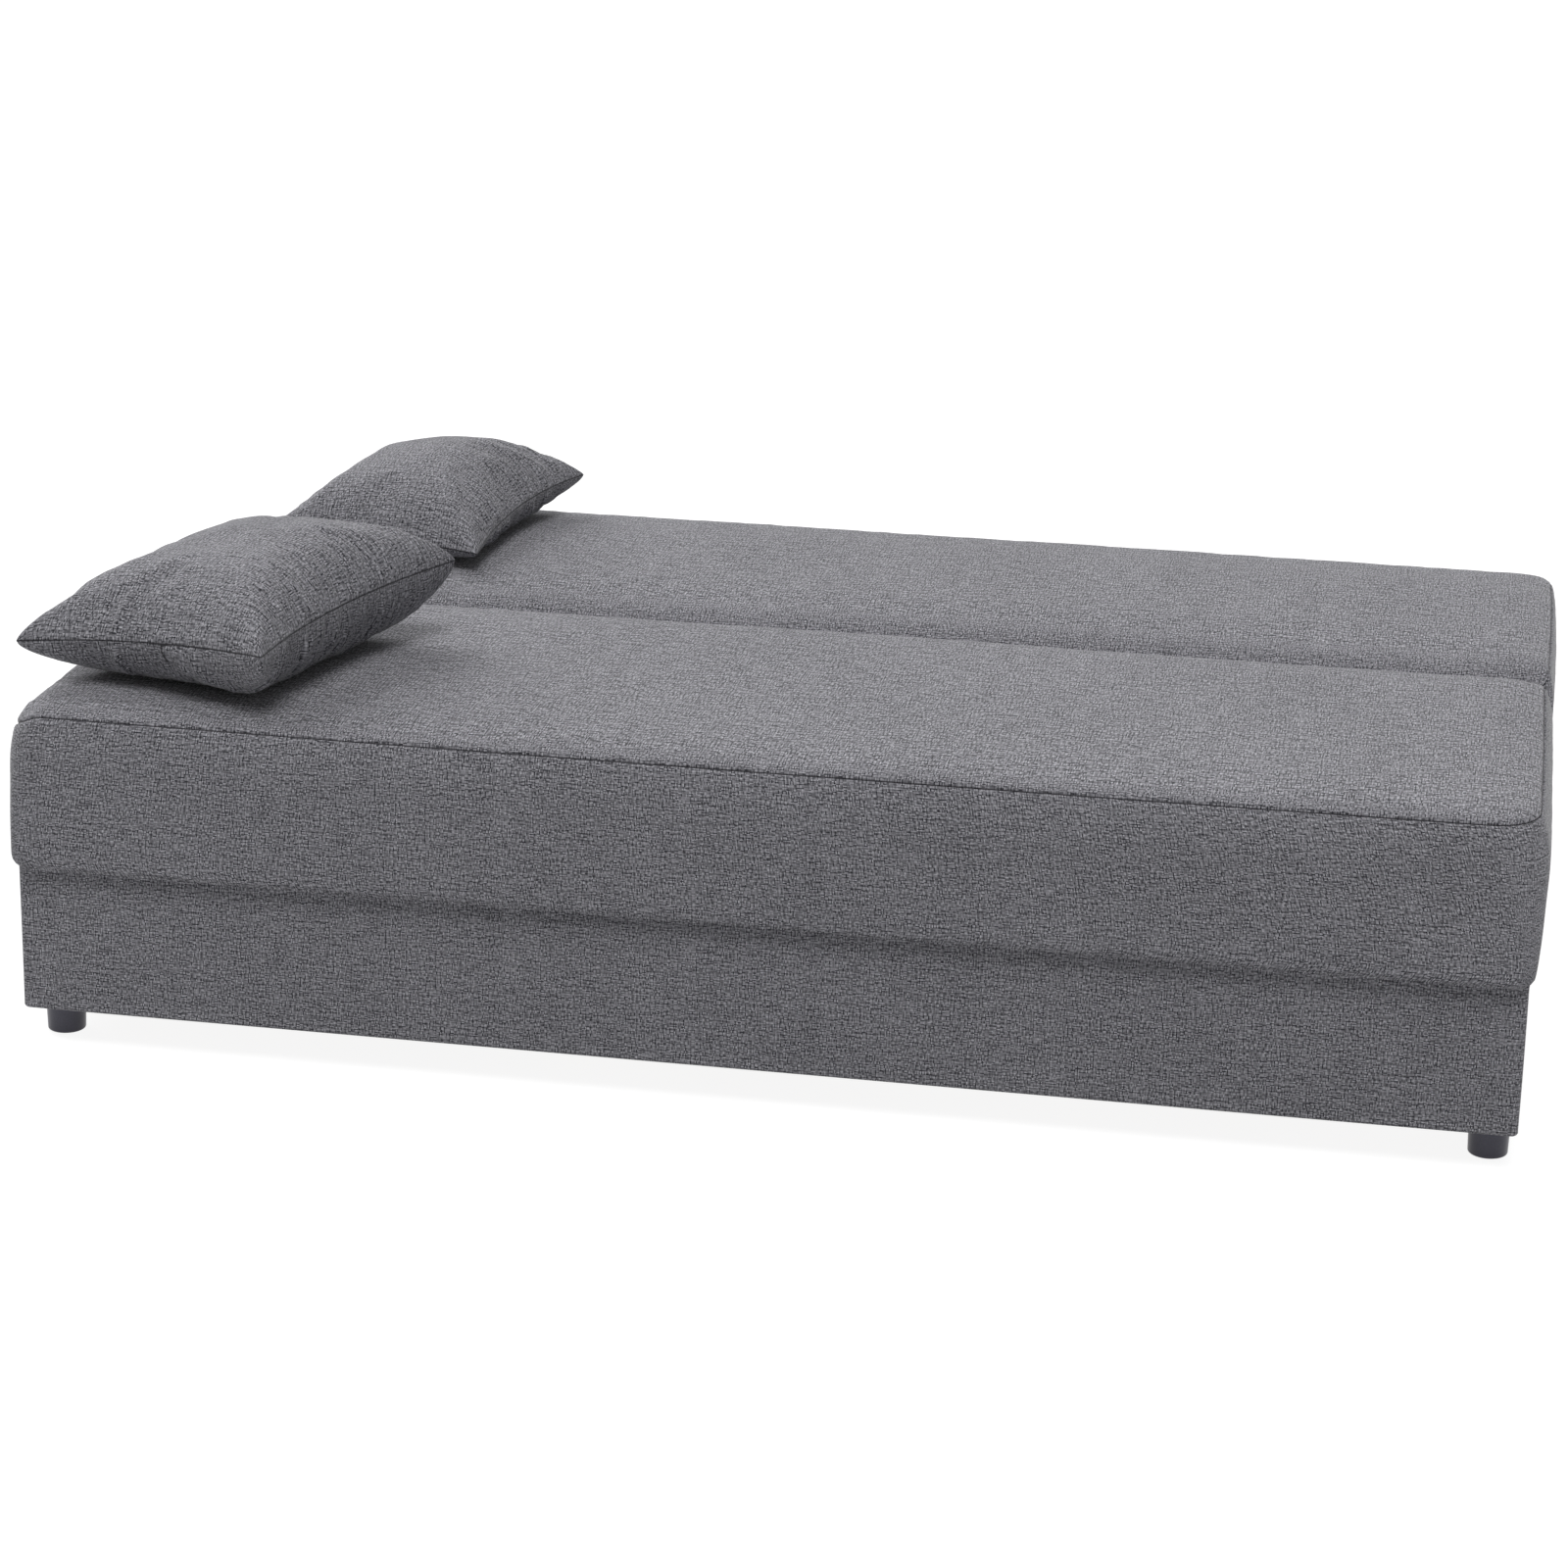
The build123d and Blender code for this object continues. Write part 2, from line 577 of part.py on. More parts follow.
def leg_bracket(side):
    """A steel bracket under the back: a flange and two cheeks that hold a leg's pin."""
    x = side * LEG_X
    cheek_out = CHEEK_GAP_X + BRACKET
    flange_x = cheek_out + BRACKET_FLANGE
    half = BRACKET_LENGTH / 2
    flange_z = (BASE_TOP_Z - BRACKET, BASE_TOP_Z)
    bracket = block((x - flange_x, x + flange_x), (LEG_Y - half, LEG_Y + half), flange_z)
    for way in (-1, 1):
        cheek_x = tuple(sorted((x + way * CHEEK_GAP_X, x + way * cheek_out)))
        cheek_z = (LEG_PIVOT_Z, BASE_TOP_Z - BRACKET)
        bracket += block(cheek_x, (LEG_Y - LEG_RADIUS, LEG_Y + LEG_RADIUS), cheek_z)
        bracket += rod_x(cheek_x, LEG_Y, LEG_PIVOT_Z, LEG_RADIUS)
    bracket -= rod_x((x - cheek_out, x + cheek_out), LEG_Y, LEG_PIVOT_Z, LEG_PIN_RADIUS)
    for screw_x, screw_y in bracket_screw_places(side):
        bracket -= rod_z(screw_x, screw_y, flange_z, SCREW_RADIUS)
    return bracket


def leg_pin(side):
    """A headed pin across a leg bracket."""
    x = side * LEG_X
    end = CHEEK_GAP_X + BRACKET
    pin = rod_x((x - end, x + end), LEG_Y, LEG_PIVOT_Z, LEG_PIN_RADIUS)
    for near, far in ((-end - LEG_PIN_HEAD, -end), (end, end + LEG_PIN_HEAD)):
        pin += rod_x((x + near, x + far), LEG_Y, LEG_PIVOT_Z, LEG_PIN_HEAD_RADIUS)
    return pin


def bracket_screw(x, y):
    """A screw up through a leg bracket and the lining into the leg rail."""
    bottom = BASE_TOP_Z - BRACKET
    head = rod_z(x, y, (bottom - SCREW_HEAD, bottom), SCREW_HEAD_RADIUS)
    return head + rod_z(x, y, (bottom, bottom + SCREW_LENGTH), SCREW_RADIUS)


def pillow_form(size, skin):
    """A pillow at the origin, its seam at height zero: crowned both ways, its sides drawn in."""
    sections = []
    width, length, over, below = size
    length = length - 2 * skin
    for share in (-1.0, -0.8, -0.45, 0.0, 0.45, 0.8, 1.0):
        full = (1 - abs(share) ** PILLOW_FULLNESS) ** PILLOW_ROUND
        half_width = width / 2 - PILLOW_DRAW * (1 - share**2) - skin
        edge = PILLOW_EDGE - skin / 2
        top = edge + (over - PILLOW_EDGE - skin / 2) * full
        under = edge + (below + PILLOW_FLAT - PILLOW_EDGE - skin / 2) * full
        over_arc = ThreePointArc((-half_width, 0), (0, top), (half_width, 0))
        under_arc = ThreePointArc((half_width, 0), (0, -under), (-half_width, 0))
        place = Plane(origin=(0, share * length / 2, 0), x_dir=(1, 0, 0), z_dir=(0, -1, 0))
        sections.append(place * make_face([over_arc, under_arc]))
    return loft(sections)


def pillow_bed(size, lift):
    """A slab whose top is where a pillow is pressed flat, lift above the cloth it lies on."""
    width, length, _, below = size
    reach = width + length
    top = -below + lift
    return block((-reach, reach), (-reach, reach), (top - below, top))


def pillow_pieces(size):
    """The cover and the filling of a pillow of a width, a length, and a height over and below its seam."""
    lap = PILLOW_COVER + PILLOW_SEAM_LAP
    inside = pillow_form(size, lap) - pillow_bed(size, PILLOW_COVER)
    filling = pillow_form(size, lap + SOFT_GAP) - pillow_bed(size, PILLOW_COVER + SOFT_GAP)
    return pillow_form(size, 0.0) - pillow_bed(size, 0.0) - inside, filling


def export(name, pieces):
    """Write one node's solids to its file."""
    solids = pieces if isinstance(pieces, list) else [pieces]
    shapes = [solid for piece in solids for solid in piece.solids()]
    export_step(shapes[0] if len(shapes) == 1 else Compound(children=shapes), f"parts/{name}.step")


def build_base():
    """The plinth with its feet and the fixed half of the hinges."""
    z = (BOARD_BOTTOM_Z, BASE_TOP_Z)
    core = base_outline(COVER, (FOOT_HEIGHT, BASE_TOP_Z))
    bolt_rods = foot_bolt_rods()
    plate_bolts = each_plate_bolt(plate_bolt)
    plate_room = []
    for side in (-1, 1):
        room_x = spread(side, PLATE_IN_X - SIDE_PLAY, PLATE_OUT_X)
        room_z = (BAR_BOTTOM_Z - SIDE_PLAY, BAR_TOP_Z + SIDE_PLAY)
        plate_room.append(block(room_x, (BOX_REAR_Y, BASE_REAR_Y), room_z))
    full_x = (-BOARD_OUT_X, BOARD_OUT_X)
    export("base_front_board", core & block(full_x, (BOARD_FRONT_Y, BOX_FRONT_Y), z))
    rear_board = core & block(full_x, (BOX_REAR_Y, BOARD_REAR_Y), z)
    export("base_rear_board", rear_board - plate_room)
    for name, side in (("left", -1), ("right", 1)):
        board = block(spread(side, BOARD_IN_X, BOARD_OUT_X), (BOX_FRONT_Y, BOX_REAR_Y), z)
        export(f"base_{name}_board", board - plate_bolts)
        export(f"hinge_plate_{name}", hinge_plate(side))
    boards = []
    for side in (-1, 1):
        x = (side * CROSS_BOARD_X - BOARD / 2, side * CROSS_BOARD_X + BOARD / 2)
        boards.append(block(x, (BOX_FRONT_Y, BOX_REAR_Y), z))
    export("base_cross_boards", boards)
    panel = base_outline(COVER, (FOOT_HEIGHT, BOARD_BOTTOM_Z))
    export("base_bottom_panel", panel - bolt_rods)
    export("base_corner_blocks", [timber - bolt_rods for timber in corner_blocks()])
    export("base_cleats", [timber - seat_bolts() for timber in cleats()])
    export("base_cover", base_outline(0.0, (FOOT_HEIGHT, BASE_TOP_Z)) - core - plate_room)
    for name, (x, y) in foot_places().items():
        export(f"foot_{name}", foot(x, y))
    export("foot_bolts", bolt_rods)
    export("hinge_plate_bolts", plate_bolts)
    export("hinge_plate_nuts", each_plate_bolt(plate_nut))
    export("pivot_pins", [pivot_pin(side) for side in (-1, 1)])
    export("pivot_nuts", [pivot_nut(side) for side in (-1, 1)])
    export("pivot_washers", [pivot_washer(side) for side in (-1, 1)])
    export("seat_bolts", seat_bolts())


def build_seat():
    """The seat pad: frame, straps, felt, foam, lining and cover."""
    front = SEAT_FRONT_Y + COVER + FOAM_END_WALL
    rear = SEAT_REAR_Y - COVER - FOAM_END_WALL
    bolts = seat_bolts()
    for name, rail in frame_rails(front, rear).items():
        export(f"seat_{name}_rail", rail - bolts)
    export("seat_cross_rails", cross_rails(front, rear))
    export("seat_straps", straps(front, rear))
    export("seat_felt", felt_sheet(front, rear))
    inside = pad_form(SEAT_FRONT_Y, SEAT_REAR_Y, False, COVER)
    foam = pad_form(SEAT_FRONT_Y, SEAT_REAR_Y, False, COVER + SOFT_GAP)
    export("seat_foam", (foam & above_dust_sheet()) - frame_room(front, rear))
    export("seat_dust_cover", dust_sheet(foam) - bolts)
    export("seat_cover", pad_form(SEAT_FRONT_Y, SEAT_REAR_Y, False, 0.0) - inside)


def build_back():
    """The back pad with its hinge arms and the brackets of the rear legs."""
    front = BACK_NEAR_Y + COVER + FOAM_NEAR_WALL
    rear = BACK_FAR_Y - COVER - FOAM_END_WALL
    slots = hinge_slots()
    screws = [arm_screw(side, y, z) for side in (-1, 1) for y, z in arm_screw_places()]
    leg_screws = [bracket_screw(x, y) for side in (-1, 1) for x, y in bracket_screw_places(side)]
    nut_rooms = [
        rod_x(spread(side, RAIL_IN_X, RAIL_OUT_X), AXIS_Y, AXIS_Z, PIN_NUT_RADIUS + NUT_ROOM)
        for side in (-1, 1)
    ]
    for name, rail in frame_rails(front, rear).items():
        export(f"back_{name}_rail", rail - nut_rooms - screws)
    leg_rail_y = (LEG_Y - LEG_RAIL_WIDTH / 2, LEG_Y + LEG_RAIL_WIDTH / 2)
    leg_rail_y = (leg_rail_y[0], min(leg_rail_y[1], rear - RAIL))
    leg_rail_z = (FRAME_BOTTOM_Z, FRAME_BOTTOM_Z + LEG_RAIL_HEIGHT)
    leg_rail = block((-RAIL_IN_X, RAIL_IN_X), leg_rail_y, leg_rail_z)
    export("back_leg_rail", leg_rail - leg_screws)
    export("back_cross_rails", cross_rails(front, leg_rail_y[0] + RAIL))
    export("back_straps", straps(front, rear))
    inside = pad_form(BACK_NEAR_Y, BACK_FAR_Y, True, COVER)
    export("back_felt", felt_sheet(front, rear) & inside)
    foam = pad_form(BACK_NEAR_Y, BACK_FAR_Y, True, COVER + SOFT_GAP)
    export("back_foam", (foam & above_dust_sheet()) - frame_room(front, rear) - slots)
    export("back_dust_cover", dust_sheet(foam) - slots - leg_screws)
    export("back_cover", pad_form(BACK_NEAR_Y, BACK_FAR_Y, True, 0.0) - inside - slots)
    for name, side in (("left", -1), ("right", 1)):
        export(f"hinge_arm_{name}", hinge_arm(side))
    export("hinge_arm_screws", screws)
    export("leg_brackets", [leg_bracket(side) for side in (-1, 1)])
    export("leg_bracket_screws", leg_screws)
    export("leg_pins", [leg_pin(side) for side in (-1, 1)])


def build_legs():
    """The rear legs that fold up under the back pad."""
    for name, side in (("left", -1), ("right", 1)):
        export(f"leg_post_{name}", leg_post(side))
    export("leg_cross_tube", leg_cross_tube())
    export("leg_caps", [leg_cap(side) for side in (-1, 1)])


def build_pillows():
    """The two loose pillows where they lie on the bed."""
    bed_z = PAD_TOP_Z + SOFT_GAP
    front = (FRONT_PILLOW_WIDTH, FRONT_PILLOW_LENGTH, FRONT_PILLOW_TOP, FRONT_PILLOW_UNDER)
    front_place = Pos(FRONT_PILLOW_X, FRONT_PILLOW_Y, bed_z + FRONT_PILLOW_UNDER) * Rot(0, 0, FRONT_PILLOW_TURN)
    rear = (REAR_PILLOW_WIDTH, REAR_PILLOW_LENGTH, REAR_PILLOW_TOP, REAR_PILLOW_UNDER)
    rear_place = Pos(REAR_PILLOW_X, REAR_PILLOW_Y, bed_z + REAR_PILLOW_UNDER) * Rot(0, 0, REAR_PILLOW_TURN)
    for name, size, place in (("front", front, front_place), ("rear", rear, rear_place)):
        cover, filling = pillow_pieces(size)
        export(f"pillow_{name}_cover", place * cover)
        export(f"pillow_{name}_filling", place * filling)


build_base()
build_seat()
build_back()
build_legs()
build_pillows()
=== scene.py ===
import json
import logging
import math
from dataclasses import dataclass, field
from enum import Enum
from typing import Any

import bpy
import numpy as np
from mathutils import Matrix, Vector


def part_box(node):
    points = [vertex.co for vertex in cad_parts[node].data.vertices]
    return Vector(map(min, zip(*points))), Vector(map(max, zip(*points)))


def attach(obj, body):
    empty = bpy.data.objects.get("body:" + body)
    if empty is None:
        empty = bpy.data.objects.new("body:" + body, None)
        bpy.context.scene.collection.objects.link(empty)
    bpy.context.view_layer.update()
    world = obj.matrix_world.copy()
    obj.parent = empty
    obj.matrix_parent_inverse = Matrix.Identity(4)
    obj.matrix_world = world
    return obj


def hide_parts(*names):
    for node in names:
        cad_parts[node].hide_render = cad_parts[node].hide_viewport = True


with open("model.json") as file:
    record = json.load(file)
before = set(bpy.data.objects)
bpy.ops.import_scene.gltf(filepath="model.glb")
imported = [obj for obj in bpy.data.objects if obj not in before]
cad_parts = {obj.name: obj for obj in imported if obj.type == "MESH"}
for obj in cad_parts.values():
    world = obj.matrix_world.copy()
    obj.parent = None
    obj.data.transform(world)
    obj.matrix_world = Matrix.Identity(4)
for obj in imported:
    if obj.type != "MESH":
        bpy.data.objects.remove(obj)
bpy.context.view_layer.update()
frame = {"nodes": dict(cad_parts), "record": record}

LOG = logging.getLogger("sofa_bed")
MM = 0.001
WEAVE_MAP = "weave"
SEAM_MARK = "seam_distance"
PANEL_PLACE = "panel_place"
FAR_FROM_SEAM = 100.0
NOISE_SPAN = {"From Min": 0.3, "From Max": 0.7}
Slot = tuple[tuple[float, float], tuple[float, float], tuple[float, float]]


def linear_colour(code: str) -> tuple[float, float, float, float]:
    """Turn an sRGB hex value into a linear colour.

    Args:
        code: The colour as "#RRGGBB".

    Returns:
        Red, green, blue and alpha, linear.
    """
    parts = [int(code[i:i + 2], 16) / 255 for i in (1, 3, 5)]
    red, green, blue = [p / 12.92 if p <= 0.04045 else ((p + 0.055) / 1.055) ** 2.4 for p in parts]
    return red, green, blue, 1.0


def add_node(tree: bpy.types.NodeTree, kind: str, inputs: dict[Any, Any] | None = None,
             **settings: Any) -> bpy.types.Node:
    """Add one node with its settings, values and links.

    Args:
        tree: The tree that gets the node.
        kind: The node's type name.
        inputs: A value, or another node's output to link, for each input by name or number.
        **settings: The node's own properties.

    Returns:
        The new node.
    """
    made = tree.nodes.new(kind)
    for name, value in settings.items():
        setattr(made, name, value)
    for key, value in (inputs or {}).items():
        if isinstance(value, bpy.types.NodeSocket):
            tree.links.new(value, made.inputs[key])
        else:
            made.inputs[key].default_value = value
    return made


def new_material(name: str) -> tuple[bpy.types.Material, bpy.types.NodeTree]:
    """Make an empty node material.

    Args:
        name: The material's name.

    Returns:
        The material and its node tree.
    """
    material = bpy.data.materials.new(name)
    material.use_nodes = True
    material.node_tree.nodes.clear()
    return material, material.node_tree


class Ripple:
    """A smooth unevenness made of plane waves with fixed seeds, between about -1 and 1."""

    def __init__(self, seed: int, shortest: float, longest: float, waves: int = 14) -> None:
        """Choose the waves.

        Args:
            seed: Fixes the choice.
            shortest: The shortest wavelength, mm.
            longest: The longest wavelength, mm.
            waves: How many waves are added up.
        """
        rng = np.random.default_rng(seed)
        lengths = np.exp(rng.uniform(math.log(shortest), math.log(longest), waves))
        ways = rng.normal(size=(waves, 3))
        ways /= np.linalg.norm(ways, axis=1)[:, None]
        self.ways = ways * (2 * math.pi / lengths)[:, None]
        self.starts = rng.uniform(0, 2 * math.pi, waves)
        self.scale = 1 / math.sqrt(waves)

    def at(self, points: np.ndarray) -> np.ndarray:
        """The unevenness at points of three coordinates, mm."""
        return np.sin(points @ self.ways.T + self.starts).sum(-1) * self.scale


def smooth_step(values: np.ndarray | float, low: float, high: float) -> Any:
    """Rise smoothly from 0 at low to 1 at high."""
    share = np.clip((values - low) / (high - low), 0.0, 1.0)
    return share * share * (3 - 2 * share)


def vertex_normals(points: np.ndarray, quads: np.ndarray) -> np.ndarray:
    """Unit normals of a quad mesh's points.

    Args:
        points: The mesh's points.
        quads: Four point numbers for each face.

    Returns:
        One outward normal for each point.
    """
    across = points[quads[:, 2]] - points[quads[:, 0]]
    along = points[quads[:, 3]] - points[quads[:, 1]]
    faces = np.cross(across, along)
    normals = np.zeros_like(points)
    for corner in range(4):
        np.add.at(normals, quads[:, corner], faces)
    return normals / np.maximum(np.linalg.norm(normals, axis=1), 1e-9)[:, None]


def way_round(plan: np.ndarray) -> np.ndarray:
    """How far along a closed ring each point lies, with the whole length last."""
    steps = np.linalg.norm(np.diff(np.concatenate([plan, plan[:1]]), axis=0), axis=1)
    return np.append(0, np.cumsum(steps))


def band_weave(round_way: np.ndarray, low: np.ndarray, high: np.ndarray) -> np.ndarray:
    """Map coordinates of one row of faces round a piece.

    Args:
        round_way: Each point's way along the ring, with the whole length last.
        low: Each point's way up the cloth on the row's lower ring.
        high: The same on its upper ring.

    Returns:
        Four pairs for each face, mm.
    """
    start, end = round_way[:-1], round_way[1:]
    corners = ((start, low), (end, np.roll(low, -1)), (end, np.roll(high, -1)), (start, high))
    return np.stack([np.stack(pair, 1) for pair in corners], 1)


def place_object(name: str, data: bpy.types.ID) -> bpy.types.Object:
    """Make an object of a mesh, lamp or camera.

    Args:
        name: The object's name.
        data: What it holds.

    Returns:
        The object, linked to the scene at the origin.
    """
    made = bpy.data.objects.new(name, data)
    bpy.context.scene.collection.objects.link(made)
    return made


def cloth_mesh(name: str, points: np.ndarray, quads: np.ndarray, weave: np.ndarray,
               seam: np.ndarray | None = None) -> bpy.types.Object:
    """Make a smooth mesh object with its weave map and seam mark, from which the cloth paints shade along the
    seams.

    Args:
        name: The piece's name.
        points: Points in mm.
        quads: Four point numbers for each face.
        weave: Map coordinates in metres for each corner of each face.
        seam: Each point's distance from a seam, mm.

    Returns:
        The object, linked to the scene.
    """
    mesh = bpy.data.meshes.new(name)
    mesh.from_pydata((points * MM).tolist(), [], quads.tolist())
    layer = mesh.uv_layers.new(name=WEAVE_MAP)
    layer.data.foreach_set("uv", np.ascontiguousarray(weave, np.float32).ravel())
    mark = mesh.attributes.new(SEAM_MARK, "FLOAT", "POINT")
    values = np.full(len(points), FAR_FROM_SEAM) if seam is None else seam
    mark.data.foreach_set("value", np.ascontiguousarray(values, np.float32))
    mesh.polygons.foreach_set("use_smooth", np.ones(len(quads), bool))
    mesh.update()
    return place_object(name, mesh)


def bake_modifiers(piece: bpy.types.Object) -> bpy.types.Object:
    """Turn a piece's modifiers into plain mesh and remove them.

    Args:
        piece: The object to bake.

    Returns:
        The same object.
    """
    depsgraph = bpy.context.evaluated_depsgraph_get()
    baked = bpy.data.meshes.new_from_object(piece.evaluated_get(depsgraph), depsgraph=depsgraph)
    piece.modifiers.clear()
    piece.data = baked
    return piece


def wear(piece: bpy.types.Object, material: bpy.types.Material) -> None:
    """Give a piece one material on all its faces.

    Args:
        piece: The piece.
        material: What it wears.
    """
    piece.data.materials.clear()
    piece.data.materials.append(material)
    piece.data.polygons.foreach_set("material_index", np.zeros(len(piece.data.polygons), np.int32))


def upholster(piece: bpy.types.Object, cloth: bpy.types.Material, body: str, replaced: tuple[str, ...]) -> None:
    """Dress a padded piece, set it on its body and let it stand for its solids.

    Args:
        piece: The finished piece.
        cloth: Its cloth.
        body: The body it rides on.
        replaced: The solids it stands for.
    """
    wear(piece, cloth)
    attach(piece, body)
    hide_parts(*replaced)
    LOG.info("%s: %d faces", piece.name, len(piece.data.polygons))


def cut_boxes(piece: bpy.types.Object, boxes: list[Slot]) -> None:
    """Cut box-shaped slots out of a closed piece.

    Args:
        piece: The piece that is cut.
        boxes: Low and high x, y and z of each slot, mm.
    """
    points = []
    faces = []
    for x, y, z in boxes:
        first = len(points)
        points += [(x[i], y[j], z[k]) for k in (0, 1) for j in (0, 1) for i in (0, 1)]
        sides = [(0, 2, 3, 1), (4, 5, 7, 6), (0, 1, 5, 4), (2, 6, 7, 3), (0, 4, 6, 2), (1, 3, 7, 5)]
        faces += [tuple(first + n for n in side) for side in sides]
    mesh = bpy.data.meshes.new("slot_cutter")
    mesh.from_pydata([[c * MM for c in p] for p in points], [], faces)
    cutter = place_object("slot_cutter", mesh)
    cut = piece.modifiers.new("slots", "BOOLEAN")
    cut.operation = "DIFFERENCE"
    cut.solver = "EXACT"
    cut.object = cutter
    bake_modifiers(piece)
    bpy.data.objects.remove(cutter)


@dataclass(frozen=True)
class MelangeCloth:
    """Woven polyester upholstery of mixed light and dark grey yarn, matt, with a slight nap. A painted shadow
    darkens it in a thin line along each seam.
    """

    name: str = "melange_upholstery_cloth"
    dark: str = "#313136"
    light: str = "#D0CFD6"
    # Colour of the painted shadow along the seams.
    seam_shadow_colour: str = "#1F1E22"
    weft: tuple[float, float] = (4.6, 1.6)
    warp: tuple[float, float] = (1.6, 4.2)
    slub: tuple[float, float] = (26.0, 4.2)
    lines: tuple[float, float, float] = (20.0, 15.0, 1.6)
    contrast: float = 1.38
    line_contrast: float = 0.2
    slub_contrast: float = 0.065
    shade_drift: float = 160.0
    mean_shade: tuple[float, float] = (0.3, 0.34)
    # How far from the seam the painted shadow reaches, and how dark it is.
    seam_shadow_width: tuple[float, float] = (0.5, 1.7)
    seam_shadow_strength: float = 0.9
    nap: float = 0.3
    roughness: float = 0.92
    ior: float = 1.45
    specular: float = 0.25
    sheen: float = 0.3
    sheen_roughness: float = 0.4

    def material(self) -> bpy.types.Material:
        """Build the cloth.

        Returns:
            The material, which reads the weave map in metres.
        """
        material, tree = new_material(self.name)
        place = add_node(tree, "ShaderNodeUVMap", uv_map=WEAVE_MAP).outputs["UV"]
        # Real yarn is about 1 mm thick. It is drawn a little coarser, so that it shows.
        weft = self.dashes(tree, place, self.weft, 0.0)
        warp = self.dashes(tree, place, self.warp, 0.37)
        yarn = add_node(tree, "ShaderNodeMath", {0: weft, 1: warp}, operation="MULTIPLY")
        long_weft = self.dashes(tree, place, (self.lines[0], self.lines[2]), 0.61)
        long_warp = self.dashes(tree, place, (self.lines[2], self.lines[1]), 0.23)
        lines = add_node(tree, "ShaderNodeMath", {0: long_weft, 1: long_warp}, operation="ADD")
        drawn = add_node(tree, "ShaderNodeMapRange", {
            "Value": lines.outputs[0], "From Max": 2.0,
            "To Min": -self.line_contrast, "To Max": self.line_contrast})
        slubs = add_node(tree, "ShaderNodeTexNoise", {
            "Vector": self.stretched(tree, place, self.slub, 3.1), "Scale": 1.0, "Detail": 0.0})
        thick = add_node(tree, "ShaderNodeMapRange", {
            "Value": slubs.outputs[0], **NOISE_SPAN,
            "To Min": -self.slub_contrast, "To Max": self.slub_contrast})
        drift = add_node(tree, "ShaderNodeTexNoise", {
            "Vector": place, "Scale": 1 / (self.shade_drift * MM), "Detail": 2.0})
        level = add_node(tree, "ShaderNodeMapRange", {
            "Value": drift.outputs[0], **NOISE_SPAN,
            "To Min": self.mean_shade[0], "To Max": self.mean_shade[1]})
        mixed = add_node(tree, "ShaderNodeMath", {0: level.outputs[0], 1: drawn.outputs[0]}, operation="ADD")
        uneven = add_node(tree, "ShaderNodeMath", {0: mixed.outputs[0], 1: thick.outputs[0]}, operation="ADD")
        crossed = add_node(tree, "ShaderNodeMath", {0: yarn.outputs[0], 1: 0.25}, operation="SUBTRACT")
        shade = add_node(tree, "ShaderNodeMath", {
            0: crossed.outputs[0], 1: self.contrast, 2: uneven.outputs[0]},
            operation="MULTIPLY_ADD", use_clamp=True)
        tone = add_node(tree, "ShaderNodeMix", {
            0: shade.outputs[0], 6: linear_colour(self.dark), 7: linear_colour(self.light)}, data_type="RGBA")
        # Painted shade: a thin dark line along each seam, where the sunk seam lies in shadow, set by each
        # point's distance from the seam.
        mark = add_node(tree, "ShaderNodeAttribute", attribute_name=SEAM_MARK)
        apart = add_node(tree, "ShaderNodeMath", {0: mark.outputs["Fac"]}, operation="ABSOLUTE")
        sunk = add_node(tree, "ShaderNodeMapRange", {
            "Value": apart.outputs[0], "From Min": self.seam_shadow_width[0], "From Max": self.seam_shadow_width[1],
            "To Min": self.seam_shadow_strength, "To Max": 0.0})
        cloth = add_node(tree, "ShaderNodeMix", {
            0: sunk.outputs[0], 6: tone.outputs[2], 7: linear_colour(self.seam_shadow_colour)}, data_type="RGBA")
        relief = add_node(tree, "ShaderNodeBump", {
            "Strength": 1.0, "Distance": self.nap * MM, "Height": yarn.outputs[0]})
        surface = add_node(tree, "ShaderNodeBsdfPrincipled", {
            "Base Color": cloth.outputs[2], "Roughness": self.roughness, "IOR": self.ior,
            "Normal": relief.outputs[0], "Specular IOR Level": self.specular,
            "Sheen Weight": self.sheen, "Sheen Roughness": self.sheen_roughness})
        add_node(tree, "ShaderNodeOutputMaterial", {"Surface": surface.outputs[0]})
        return material

    def stretched(self, tree: bpy.types.NodeTree, place: bpy.types.NodeSocket,
                  size: tuple[float, float], start: float) -> bpy.types.NodeSocket:
        """The weave map in units of one float or slub.

        Args:
            tree: The material's tree.
            place: The weave map.
            size: A float's width and height on the map, mm.
            start: Shifts the pattern.

        Returns:
            The stretched map.
        """
        scale = (1 / (size[0] * MM), 1 / (size[1] * MM), 1.0)
        return add_node(tree, "ShaderNodeVectorMath", {0: place, 1: scale, 2: (start, start, start)},
                        operation="MULTIPLY_ADD").outputs[0]

    def dashes(self, tree: bpy.types.NodeTree, place: bpy.types.NodeSocket,
               size: tuple[float, float], start: float) -> bpy.types.NodeSocket:
        """Floats of yarn, each of its own shade and set off from the next one beside it.

        Args:
            tree: The material's tree.
            place: The weave map.
            size: A float's width and height on the map, mm.
            start: Shifts the pattern.

        Returns:
            The yarn's shade, 0 to 1.
        """
        drawn = self.stretched(tree, place, size, start)
        cell = add_node(tree, "ShaderNodeVectorMath", {0: drawn}, operation="FLOOR")
        across = (0.0, 1.0, 0.0) if size[0] > size[1] else (1.0, 0.0, 0.0)
        beside = add_node(tree, "ShaderNodeVectorMath", {0: cell.outputs[0], 1: across}, operation="ADD")
        own, other = (add_node(tree, "ShaderNodeTexWhiteNoise", {"Vector": at.outputs[0]},
                               noise_dimensions="2D").outputs["Value"] for at in (cell, beside))
        apart = add_node(tree, "ShaderNodeMath", {0: own, 1: other}, operation="SUBTRACT")
        return add_node(tree, "ShaderNodeMath", {0: apart.outputs[0], 1: 0.5, 2: 0.5},
                        operation="MULTIPLY_ADD").outputs[0]


